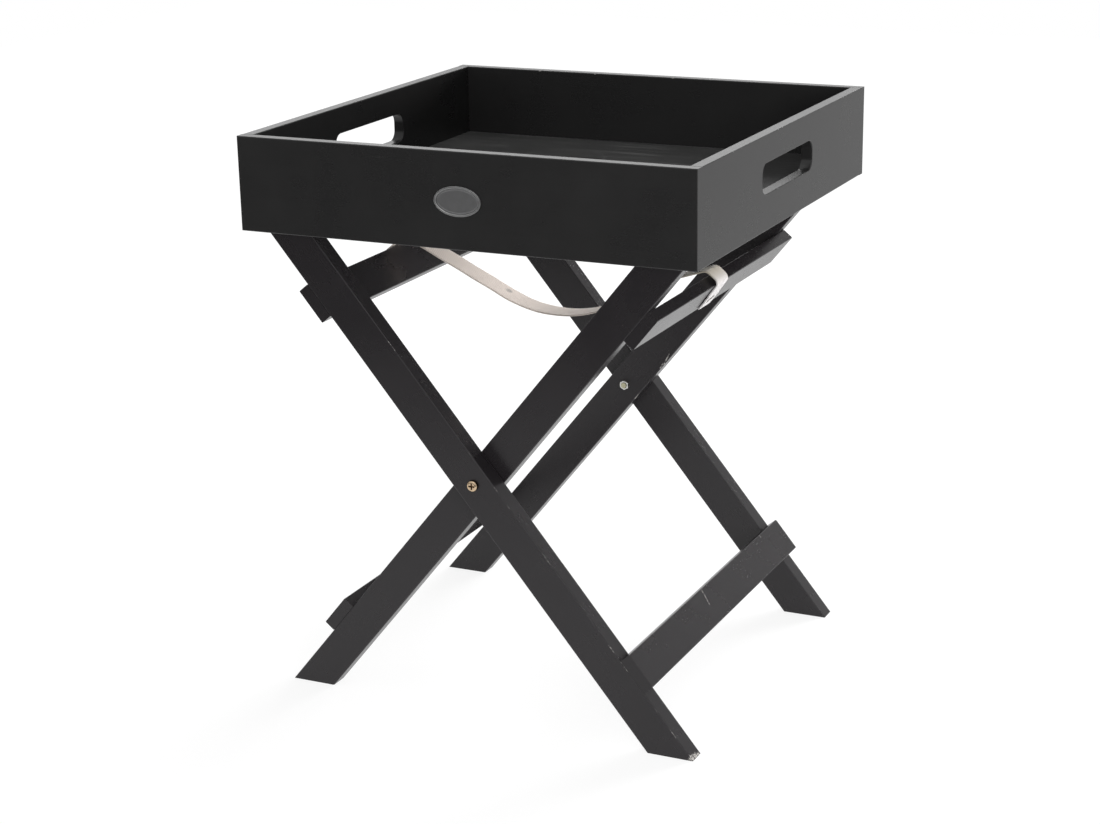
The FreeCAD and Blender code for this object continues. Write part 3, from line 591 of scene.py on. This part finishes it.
# Each flake is where it starts, where it ends and how bare it is.
FLAKES = ((0.136, 0.126, 0.5), (0.0235, 0.0205, 0.5), (-0.0115, -0.0155, 0.5), (-0.030, -0.0325, 0.5),
          (-0.078, -0.089, 0.65), (-0.171, -0.178, 0.7), (-0.188, -0.198, 0.75), (-0.2355, -0.238, 0.7),
          (-0.256, -0.264, 0.65))
FOOT_TIP = ((-0.2855, -0.0070, leg_edge), (-0.2885, 0.0050, leg_edge), 0.0038, 0.85)
RAIL_SCRATCH = ((0.0151, -0.0172, rail_face), (0.0012, -0.0208, rail_face), 0.0005, 0.9)
RAIL_NICK = ((0.0155, 0.1290, rail_face), (0.0140, 0.1300, rail_face), 0.0007, 0.35)
SPLINTERS = [
    ((0.0374, leg_front, -0.0150), (0.0433, leg_front, -0.0139), 0.0005, 0.6),
    ((0.0422, leg_front, -0.0154), (0.0507, leg_front, -0.0136), 0.0006, 0.8),
    ((0.0474, leg_front, -0.0146), (0.0543, leg_front, -0.0126), 0.0004, 0.6),
]
# Each chip is where it starts, where it ends, its half width and how bare it is.
BACK_LEG_CHIPS = ((0.0204, 0.0100, 0.0004, 0.35), (0.0044, -0.0043, 0.0006, 0.75))


def edge_mark(start, end, half_width, bareness):
    """A stroke along the front edge of a leg."""
    return (start, leg_front, leg_edge), (end, leg_front, leg_edge), half_width, bareness


stand_strokes = {
    "outer_front_leg": [edge_mark(start, end, FLAKE_HALF_WIDTH, bareness) for start, end, bareness in FLAKES]
    + [FOOT_TIP],
    "outer_bottom_rail": [RAIL_SCRATCH, RAIL_NICK],
    "inner_back_leg": SPLINTERS + [edge_mark(*chip) for chip in BACK_LEG_CHIPS],
}
print("marks:", sum(len(strokes) for strokes in stand_strokes.values()), "strokes on the stand")

# %% [markdown]
# The stand is solid wood, so its long grain stands up a little under the paint. Legs and rails lie on a
# slant. Each could have a texture map of its own, but a Mapping node that turns the pattern's axes to lie
# along the bar does the same without unwrapping it.

# %% Legs and rails
LEG_HALF_LENGTH = 0.30
LEG_RUN = 0.1751
LEG_RISE = 0.2135
RAIL_HALF_WIDTH = 0.01625
STAND_GRAIN = 0.0000025
STAND_ROUGHNESS = 0.27
STAND_TINT = (0.98, 0.87, 0.96)
LEG_WEAR = -0.01
# How far the legs' edges are painted paler, a painted highlight.
LEG_EDGE_LIGHT = 0.4
LEG_GRAIN = (7, 330, 330)
RAIL_WEAR = -0.3
RAIL_GRAIN = (330, 7, 330)
leg_angle = math.atan2(LEG_RISE, LEG_RUN)
pivot = Vector((-0.007, 0, 0.2125))
FRAME_TURNS = {"outer": leg_angle - math.pi, "inner": -leg_angle}

for frame_name, turn in FRAME_TURNS.items():
    for end in ("front", "back"):
        leg = "%s_%s_leg" % (frame_name, end)
        middle = Vector((pivot.x, bar_of(leg)[0].y, pivot.z))
        half = (LEG_HALF_LENGTH, LEG_HALF_DEPTH, LEG_HALF_WIDTH)
        dress(leg, paint("stand_paint." + leg, middle, half, turn, LEG_GRAIN, STAND_GRAIN, LEG_WEAR,
                         STAND_ROUGHNESS, strokes=stand_strokes.get(leg, ()), tint=STAND_TINT, edge_light=LEG_EDGE_LIGHT))
    for height in ("top", "bottom"):
        rail = "%s_%s_rail" % (frame_name, height)
        middle, box_half = bar_of(rail)
        half = (RAIL_HALF_WIDTH, box_half.y, RAIL_HALF_THICKNESS)
        dress(rail, paint("stand_paint." + rail, middle, half, turn, RAIL_GRAIN, STAND_GRAIN, RAIL_WEAR,
                          STAND_ROUGHNESS, strokes=stand_strokes.get(rail, ()), tint=STAND_TINT))
print("painted: eight bars of the stand, leaning at %.1f degrees" % math.degrees(leg_angle))

# %% [markdown]
# Hardware is small but bright, so it draws the eye. The bolts are yellow zinc: a metal whose colour drifts
# between straw and brass, with painted shade deep in the cross recess and a greener tail. The nuts and
# washers are pale zinc, with painted shade around the bore. The staples are bare wire. Each could have a
# recipe of its own, but they differ only in colour and in where painted shade lies, so one function makes
# them all.

# %% Plated metal
PLATE_CLOUDS = (420.0, 3.0)
SCRATCH_SCALES = (900, 900, 5200)
SCRATCH_SHEEN = 0.2
SCRATCH_MEAN = 0.1
SCRATCH_DEPTH = 0.00002
SCRATCH_STRENGTH = 0.6
RECESS_SHADE = (0.10, 0.06, 0.03, 1)
RECESS_SHADE_FADE = 0.0009
HEAD_DEPTH = 0.003
TAIL_TINT = (0.54, 0.57, 0.40, 1)
TAIL_DEPTH = 0.15
TAIL_SHARE = 0.75
BORE_SHADE = (0.08, 0.08, 0.05, 1)
BORE_FADE = (0.0007, 0.0002)
BORE_SHARE = 0.85


def plated(name, bright, dull, roughness, shade_below=None, bore=None):
    """Zinc-plated steel: cloudy tint, fine scratches, and painted shade below a given depth in a bolt's head
    or around a bore on the pivots' axis."""
    finish = Finish(name)
    spot = finish.object_spot()
    scratch = finish.noise(finish.stretched(spot, SCRATCH_SCALES), 1.0)
    colour = finish.mix(finish.noise(spot, *PLATE_CLOUDS), bright, dull)
    if shade_below is not None:
        depth = finish.parts(finish.vector("ABSOLUTE", spot))["Y"]
        # The cross recess is painted dark brown: a painted shade.
        recess_shade = finish.ease(depth, shade_below, shade_below - RECESS_SHADE_FADE)
        recess_shade = finish.times(recess_shade, finish.math("GREATER_THAN", depth, shade_below - HEAD_DEPTH))
        colour = finish.mix(recess_shade, colour, RECESS_SHADE)
        tail = finish.math("LESS_THAN", depth, TAIL_DEPTH)
        colour = finish.mix(finish.times(tail, TAIL_SHARE), colour, TAIL_TINT)
    if bore is not None:
        # Around the bore the zinc is painted dark: a painted shade.
        beside = finish.vector("MULTIPLY", finish.vector("SUBTRACT", spot, pivot), (1, 0, 1))
        shade = finish.ease(finish.vector("LENGTH", beside), *[bore + reach for reach in BORE_FADE])
        colour = finish.mix(finish.times(shade, BORE_SHARE), colour, BORE_SHADE)
    sheen = finish.weighed((scratch, SCRATCH_SHEEN), plus=roughness - SCRATCH_MEAN)
    relief = finish.bump(scratch, SCRATCH_DEPTH, SCRATCH_STRENGTH)
    return finish.surface(Base_Color=colour, Metallic=1.0, Roughness=sheen, Normal=relief)


RECESS_LIP = 0.0006
BORE_RADIUS = 0.0025
head_top = max(abs(y) for y in (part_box("front_pivot_bolt")[0].y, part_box("back_pivot_bolt")[1].y))
yellow_zinc = plated("yellow_zinc", bright=(0.82, 0.64, 0.45, 1), dull=(0.62, 0.45, 0.28, 1), roughness=0.22,
                     shade_below=head_top - RECESS_LIP)
pale_zinc = plated("pale_zinc", bright=(0.94, 0.94, 0.90, 1), dull=(0.80, 0.80, 0.74, 1), roughness=0.24,
                   bore=BORE_RADIUS)
staple_wire = plated("staple_wire", bright=(0.45, 0.44, 0.42, 1), dull=(0.30, 0.29, 0.27, 1), roughness=0.35)
for end in ("front", "back"):
    dress(end + "_pivot_bolt", yellow_zinc)
    dress(end + "_pivot_nut", pale_zinc)
    dress(end + "_pivot_washer", pale_zinc)
for frame_name in FRAME_TURNS:
    dress(frame_name + "_strap_staple", staple_wire)
print("plated: bolts, nuts, washers and staples")

# %% [markdown]
# The dowels never show while the table is whole. They are plain beech, and noise that is stretched along the
# dowel gives them their grain.

# %% Dowels
BEECH_PALE = (0.62, 0.46, 0.30, 1)
BEECH_DARK = (0.46, 0.31, 0.19, 1)
BEECH_SCALES = (900, 60, 900)
BEECH_GRAIN = (1.0, 3.0)
BEECH_DEPTH = 0.00005
BEECH_SHEENS = (0.5, 0.7)


def beech(name):
    """Plain dowel wood, with grain lines along the dowel."""
    finish = Finish(name)
    grain = finish.noise(finish.stretched(finish.object_spot(), BEECH_SCALES), *BEECH_GRAIN)
    colour = finish.mix(grain, BEECH_PALE, BEECH_DARK)
    sheen = finish.ease(grain, 0, 1, *BEECH_SHEENS)
    return finish.surface(Base_Color=colour, Roughness=sheen, Normal=finish.bump(grain, BEECH_DEPTH))


bare_wood = beech("bare_wood")
for dowels in ("outer_rail_dowels", "inner_rail_dowels", "tray_corner_dowels"):
    dress(dowels, bare_wood)
print("dowels: in beech")

# %% [markdown]
# The strap keeps the stand from opening too far. It is a flat woven tape, stapled to the outer face of each
# top rail, laid over the rail and hanging slack between them. A tape can't stretch sideways, so it bends
# almost only along its length, and a path in one upright plane describes most of it. A cloth simulation
# could hang it, but a path follows the photograph more closely. Its corners are those of the CAD strap, and
# how far it sags, and how softly it bends there, are shares of its span. On the right-hand rail the
# photograph shows it standing a little higher, in a wider bend.

# %% Corners of the strap
STRAP_MIDDLE_Y = -0.0137
STRAP_OVER = 0.2171
STRAP_END = 0.18425
STRAP_FACE = 0.02715
LEFT_CREST = 0.00265
RIGHT_SEAT = 0.01305
RIGHT_CREST = 0.0126
RIGHT_ARCH = 0.0020
DIP_SHARES = (0.5355, 0.2325, 0.4035)
KNEE_SHARES = (0.174, 0.0555, 0.348)
CREST_BENDS = (0.020, 0.006)
WRAP_BENDS = (0.00265, 0.0045)
leg_slant = math.hypot(LEG_RUN, LEG_RISE)
leg_cos = LEG_RUN / leg_slant
leg_sin = LEG_RISE / leg_slant


def stand_point(lean, along, across):
    """A point of the strap's plane, measured up a leg from the pivot and across it to the top rail's side."""
    x = pivot.x + lean * (along * leg_cos + across * leg_sin)
    return Vector((x, STRAP_MIDDLE_Y, pivot.z + along * leg_sin - across * leg_cos))


left_crest = stand_point(-1, STRAP_OVER, LEFT_CREST)
right_seat = stand_point(1, STRAP_OVER, RIGHT_SEAT)
right_crest = stand_point(1, STRAP_OVER + RIGHT_ARCH, RIGHT_CREST)
right_wrap = stand_point(1, STRAP_OVER + RIGHT_ARCH, STRAP_FACE)
strap_span = right_seat.x - left_crest.x
dip_place, dip_depth, dip_bend = [share * strap_span for share in DIP_SHARES]
knee_reach, knee_drop, knee_bend = [share * strap_span for share in KNEE_SHARES]
dip = Vector((left_crest.x + dip_place, STRAP_MIDDLE_Y, right_seat.z - dip_depth))
knee = right_seat - Vector((knee_reach, 0, knee_drop))
bends = (WRAP_BENDS[0], CREST_BENDS[0], dip_bend, knee_bend, CREST_BENDS[1], WRAP_BENDS[1])
corners = [
    stand_point(-1, STRAP_END, STRAP_FACE),
    stand_point(-1, STRAP_OVER, STRAP_FACE),
    left_crest,
    dip,
    knee,
    right_crest,
    right_wrap,
    stand_point(1, STRAP_END, STRAP_FACE),
]
print("strap: spans %.1f mm between the rails" % (strap_span * 1000))

# %% [markdown]
# A curve object could round these corners, but its points would then have to be read back from it. Straight
# runs and arcs are simple enough to step along, and adding up the steps gives each station's distance from
# the strap's end.

# %% Path of the strap
STATION_SPACING = 0.003
LEAST_BEND_STATIONS = 4


def bent_path(corners, bends, spacing):
    """Points along a path whose corners are rounded, about evenly spaced, close together on tight bends."""
    points = [corners[0]]

    def straight_to(target):
        start = points[-1]
        count = max(1, round((target - start).length / spacing))
        points.extend(start.lerp(target, step / count) for step in range(1, count + 1))

    for before, corner, after, bend in zip(corners, corners[1:], corners[2:], bends):
        arriving = (corner - before).normalized()
        leaving = (after - corner).normalized()
        turn = arriving.angle(leaving)
        straight_to(corner - arriving * bend * math.tan(turn / 2))
        centre = points[-1] + (leaving - arriving.dot(leaving) * arriving).normalized() * bend
        axis = arriving.cross(leaving).normalized()
        spoke = points[-1] - centre
        count = max(LEAST_BEND_STATIONS, round(turn * bend / spacing))
        for step in range(1, count + 1):
            points.append(centre + Matrix.Rotation(turn * step / count, 3, axis) @ spoke)
    straight_to(corners[-1])
    return points


path_points = bent_path(corners, bends, STATION_SPACING)
steps = [0.0]
for here, there in zip(path_points, path_points[1:]):
    steps.append(steps[-1] + (there - here).length)
strap_length = steps[-1]


def distance_to(place):
    """The length of the strap up to its point nearest to a place."""
    nearest = min(zip(path_points, steps), key=lambda pair: (pair[0] - place).length)
    return nearest[1]


knee_at = distance_to(knee)
wrap_at = distance_to(right_wrap)
print("strap: %d stations, %.1f mm long" % (len(path_points), strap_length * 1000))

# %% [markdown]
# A flat grid is added with one row of points to each station, and each of its rows is moved to its place on
# the path. The tape is a little wavy along its edges, it puffs up beside the staple that bites into it, and
# at its right-hand end it drifts to the front as it crosses the rail and lies askew on the rail's outer face.

# %% Strap
STRAP_WIDTH = 0.025
FACES_ACROSS = 14
EDGE_WAVE = 0.00025
WAVE_RADIANS_PER_METRE = 190
STAPLE_FROM_END = 0.01175
PUFF = 0.0004
PUFF_REACH = 0.003
RIGHT_DRIFT = (-0.0072, 0.0025)
RAIL_CROSSING = 0.012


def puff(distance_from_end):
    """How far the tape stands up beside a staple."""
    away = (distance_from_end - STAPLE_FROM_END) / PUFF_REACH
    return PUFF * away * away * math.exp(1 - away * away)


def drift(distance):
    """How far the tape lies off its plane at a distance along it."""
    crossing = min(max((distance - knee_at) / (wrap_at - RAIL_CROSSING - knee_at), 0), 1)
    falling = max((distance - wrap_at) / (strap_length - wrap_at), 0)
    to_front, to_back = RIGHT_DRIFT
    return to_front * crossing * crossing * (3 - 2 * crossing) + (to_back - to_front) * falling


last_station = len(path_points) - 1
bpy.ops.object.select_all(action="DESELECT")
bpy.ops.mesh.primitive_grid_add(x_subdivisions=last_station, y_subdivisions=FACES_ACROSS, size=2,
                                calc_uvs=True, location=(0, 0, 0))
strap = bpy.context.object
strap.name = "strap_webbing"
for vertex in strap.data.vertices:
    station = round((vertex.co.x + 1) / 2 * last_station)
    side = vertex.co.y
    before = path_points[max(station - 1, 0)]
    after = path_points[min(station + 1, last_station)]
    heading = (after - before).normalized()
    outward = Vector((-heading.z, 0, heading.x))
    from_end = min(steps[station], strap_length - steps[station])
    wave = EDGE_WAVE * math.sin(steps[station] * WAVE_RADIANS_PER_METRE + side) * abs(side) ** 3
    sideways = side * STRAP_WIDTH / 2 + wave + drift(steps[station])
    vertex.co = path_points[station] + outward * puff(from_end) + Vector((0, sideways, 0))
print("strap: grid of", len(strap.data.polygons), "faces")

# %% [markdown]
# The grid's own texture map counts stations, which are closer together on bends. It is written again from the
# measured lengths, in metres, so that the weave has the same size all along. Solidify then gives the tape its
# thickness, and a bevel softens its edges.

# %% Strap cloth
STRAP_THICKNESS = 0.0012
SOFT_EDGE = 0.0004
SOFT_SEGMENTS = 2
SOFT_ANGLE = math.radians(60)
CLOTH_SMOOTH_ANGLE = math.radians(40)

map_layer = strap.data.uv_layers.active
for corner in strap.data.loops:
    station = round(map_layer.data[corner.index].uv.x * last_station)
    across = map_layer.data[corner.index].uv.y
    map_layer.data[corner.index].uv = (steps[station], across * STRAP_WIDTH)

thickness = strap.modifiers.new("thickness", "SOLIDIFY")
thickness.thickness = STRAP_THICKNESS
thickness.offset = 0
thickness.use_even_offset = True
softness = strap.modifiers.new("softness", "BEVEL")
softness.width = SOFT_EDGE
softness.segments = SOFT_SEGMENTS
softness.limit_method = "ANGLE"
softness.angle_limit = SOFT_ANGLE
bpy.context.view_layer.objects.active = strap
for modifier in ("thickness", "softness"):
    bpy.ops.object.modifier_apply(modifier=modifier)
bpy.ops.object.shade_smooth_by_angle(angle=CLOTH_SMOOTH_ANGLE)

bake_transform(strap)
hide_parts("strap")
print("strap:", len(strap.data.polygons), "faces with thickness")

# %% [markdown]
# Seen close, the tape is a plain weave: yarns go over and under each other, and the dots between them make a
# fine diagonal pattern. A picture of a weave could be laid on it, but two sine waves multiplied give the same
# at any size: hills where a yarn lies on top and hollows between, with painted shade in the hollows and the
# tops painted lighter. The tape has one grey spot. It is painted grey as a painted shade where it nears the
# right-hand rail, its end on that rail's outer face is tinted cooler as a painted highlight, and both its
# edges are painted darker as a painted shade. The shade near the rail and the cooler end go by the distance
# along the tape.

# %% Webbing
YARN_PITCH = 0.0028
SHADED_YARN_HOLLOW = (0.56, 0.475, 0.415, 1)
LIT_YARN_TOP = (0.95, 0.845, 0.77, 1)
YARN_DEPTH = 0.00022
FUZZ = (1500.0, 3.0)
FUZZ_DEPTH = 0.00006
FUZZ_STRENGTH = 0.7
FUZZ_SHEENS = (0.75, 0.95)
CLOTH_SHEEN = 0.25
CLOTH_SHEEN_ROUGHNESS = 0.5
SOIL = (0.72, 0.62, 0.55, 1)
SOIL_CLOUDS = (40.0, 3.0, 0.6)
SOIL_SHARE = 0.3
SPOT = (0.20, 0.19, 0.18, 1)
SPOT_PLACE = Vector((-0.0505, STRAP_MIDDLE_Y, 0.3365))
SPOT_ACROSS = 0.66
SPOT_RAGGED = 0.004
SPOT_SIZE = (0.0066, 0.0040)
SPOT_FUZZ = (0.3, 0.6, 0.4, 1.0)
SPOT_SHARE = 0.8
SELVAGE = 0.0008
TAPE_EDGE_SHADE = (0.34, 0.30, 0.27, 1)
TAPE_EDGE_SHADE_SHARE = 0.6
CREST_SHADE = (0.62, 0.64, 0.58, 1)
CREST_SHADE_REACH = (-0.055, -0.025)
LIT_END_TINT = (0.80, 0.88, 0.98, 1)
LIT_END_REACH = (-0.012, 0.004)
spot_map = (distance_to(SPOT_PLACE), SPOT_ACROSS * STRAP_WIDTH, 0)


def webbing(name):
    """Undyed cotton tape: yarns, soft fuzz, soiling and one grey spot, with painted shade and painted light.
    """
    finish = Finish(name)
    cloth = finish.node("UVMap", uv_map=map_layer.name).outputs[0]
    along, across, _ = finish.parts(cloth)
    waves = [finish.math("SINE", finish.times(way, math.tau / YARN_PITCH)) for way in (along, across)]
    yarn = finish.math("MULTIPLY_ADD", finish.times(*waves), 0.5, 0.5)
    fuzz = finish.noise(cloth, *FUZZ)
    cloud = finish.noise(cloth, *SOIL_CLOUDS)
    smudge = finish.weighed((cloud, SPOT_RAGGED), plus=finish.vector("DISTANCE", cloth, spot_map))
    grey = finish.times(finish.ease(smudge, *SPOT_SIZE), finish.ease(fuzz, *SPOT_FUZZ))
    from_middle = finish.math("ABSOLUTE", finish.math("SUBTRACT", across, STRAP_WIDTH / 2))
    # Along both edges the tape is painted darker: a painted shade.
    near_tape_edge = finish.ease(from_middle, STRAP_WIDTH / 2 - SELVAGE, STRAP_WIDTH / 2)
    # Where the tape nears the right-hand rail it is painted grey: a painted shade under the tray's corner.
    crest_shade = finish.ease(along, *[wrap_at + reach for reach in CREST_SHADE_REACH])
    # The end on the rail's outer face is tinted cooler: a painted highlight, the washed-out colour of a
    # brightly lit face.
    lit_end = finish.ease(along, *[wrap_at + reach for reach in LIT_END_REACH])

    # The hollows between yarns are painted darker and the tops lighter: painted shade and painted light.
    colour = finish.mix(yarn, SHADED_YARN_HOLLOW, LIT_YARN_TOP)
    colour = finish.mix(finish.times(cloud, SOIL_SHARE), colour, SOIL)
    colour = finish.mix(finish.times(grey, SPOT_SHARE), colour, SPOT)
    colour = finish.mix(finish.times(near_tape_edge, TAPE_EDGE_SHADE_SHARE), colour, TAPE_EDGE_SHADE)
    tint = finish.mix(lit_end, finish.mix(crest_shade, WHITE, CREST_SHADE), LIT_END_TINT)
    colour = finish.vector("MULTIPLY", colour, tint)
    relief = finish.bump(yarn, YARN_DEPTH)
    relief = finish.bump(fuzz, FUZZ_DEPTH, FUZZ_STRENGTH, relief)
    sheen = finish.ease(fuzz, 0, 1, *FUZZ_SHEENS)
    return finish.surface(Base_Color=colour, Roughness=sheen, Sheen_Weight=CLOTH_SHEEN,
                          Sheen_Roughness=CLOTH_SHEEN_ROUGHNESS, Normal=relief)


strap.data.materials.append(webbing("webbing"))
print("webbing: yarns of %.1f mm" % (YARN_PITCH / 2 * 1000))

# %% [markdown]
# The badge is pressed from thin metal: an oval with a rounded rim, a fine second line inside it and a low,
# smooth dome in the middle. A spun profile could be squeezed to an oval, but its rim would come out narrower
# on two sides. So it is modelled as by hand from a circle of edges: made oval, raised to the plate's
# thickness, and then inset and stepped down or up again and again. A bevel breaks every edge, as pressing
# does.

# %% Badge
RIM = 0.0013
LINE = 0.0007
OVAL_POINTS = 128
# Each step of the rim is how far in it goes and how far it rises, and each step of the dome how much smaller
# the next oval is and how far that rises.
RIM_STEPS = ((RIM, 0.0), (0.0003, -0.0005), (LINE, 0.0), (0.0002, 0.0002), (0.0004, 0.0), (0.0002, -0.0002))
DOME_STEPS = ((0.8, 0.00006), (0.7, 0.00004), (0.6, 0.00002), (0.4, 0.00001))
PRESSED_EDGE = 0.00018
PRESSED_SEGMENTS = 3
PRESSED_ANGLE = math.radians(25)
BADGE_SMOOTH_ANGLE = math.radians(35)
badge_low, badge_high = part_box("badge_plate")
badge_middle = (badge_low + badge_high) / 2
badge_size = badge_high - badge_low

bpy.ops.object.select_all(action="DESELECT")
bpy.ops.mesh.primitive_circle_add(vertices=OVAL_POINTS, radius=0.5, fill_type="NGON", location=(0, 0, 0))
badge = bpy.context.object
badge.name = "badge_oval"
badge.scale = (badge_size.x, badge_size.z, 1)
bpy.ops.object.transform_apply(location=False, rotation=False, scale=True)
bpy.ops.object.mode_set(mode="EDIT")
bpy.ops.mesh.select_all(action="SELECT")
bpy.ops.mesh.extrude_region_move(TRANSFORM_OT_translate={"value": (0, 0, badge_size.y)})
for inward, rise in RIM_STEPS:
    bpy.ops.mesh.inset(thickness=inward, depth=0, use_even_offset=True)
    bpy.ops.transform.translate(value=(0, 0, rise))
for share, rise in DOME_STEPS:
    bpy.ops.mesh.extrude_region_move(TRANSFORM_OT_translate={"value": (0, 0, rise)})
    bpy.ops.transform.resize(value=(share, share, 1), center_override=(0, 0, 0))
bpy.ops.mesh.select_all(action="SELECT")
bpy.ops.mesh.normals_make_consistent(inside=False)
bpy.ops.object.mode_set(mode="OBJECT")
badge.rotation_euler = (math.pi / 2, 0, 0)
badge.location = (badge_middle.x, badge_high.y, badge_middle.z)
bpy.ops.object.transform_apply(location=True, rotation=True, scale=True)
pressed = badge.modifiers.new("pressed", "BEVEL")
pressed.width = PRESSED_EDGE
pressed.segments = PRESSED_SEGMENTS
pressed.limit_method = "ANGLE"
pressed.angle_limit = PRESSED_ANGLE
bpy.ops.object.modifier_apply(modifier="pressed")
bpy.ops.object.shade_smooth_by_angle(angle=BADGE_SMOOTH_ANGLE)
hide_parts("badge_plate")
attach(badge, "tray")
print("badge:", len(badge.data.polygons), "faces")

# %% [markdown]
# The plate is dull grey where it lies low, and its raised rim is painted bright, a painted highlight. How far
# a point stands out towards the front tells the two apart, so one ease on that coordinate colours the whole
# badge.

# %% Badge metal
DULL_DARK = (0.225, 0.225, 0.228, 1)
DULL_PALE = (0.285, 0.285, 0.288, 1)
DULL_CLOUDS = (160.0, 3.0)
RIM_HIGHLIGHT = (0.53, 0.53, 0.53, 1)
RAISED = (-0.00035, -0.00062)
BRUSH_SCALES = (160, 160, 5200)
BRUSH_SHEEN = 0.25
BRUSH_DEPTH = 0.00002
BRUSH_STRENGTH = 0.5
DULL_TO_BRIGHT_ROUGHNESS = (0.38, 0.22)


def pressed_metal(name):
    """Grey pressed metal: brushed along its length, dull in the hollows, with a painted highlight on the rim.
    """
    finish = Finish(name)
    spot = finish.object_spot(badge_middle)
    brush = finish.noise(finish.stretched(spot, BRUSH_SCALES), 1.0)
    raised = finish.ease(finish.parts(spot)["Y"], *RAISED)
    # The raised rim is painted bright: a painted highlight.
    colour = finish.mix(raised, finish.mix(finish.noise(spot, *DULL_CLOUDS), DULL_DARK, DULL_PALE), RIM_HIGHLIGHT)
    sheen = finish.weighed((brush, BRUSH_SHEEN), plus=finish.ease(raised, 0, 1, *DULL_TO_BRIGHT_ROUGHNESS))
    relief = finish.bump(brush, BRUSH_DEPTH, BRUSH_STRENGTH)
    return finish.surface(Base_Color=colour, Metallic=1.0, Roughness=sheen, Normal=relief)


badge.data.materials.append(pressed_metal("badge_metal"))
print("badge metal: brushed")

# %% [markdown]
# Dressing must not change the size of the table.

# %% Finish
print("dressing done")
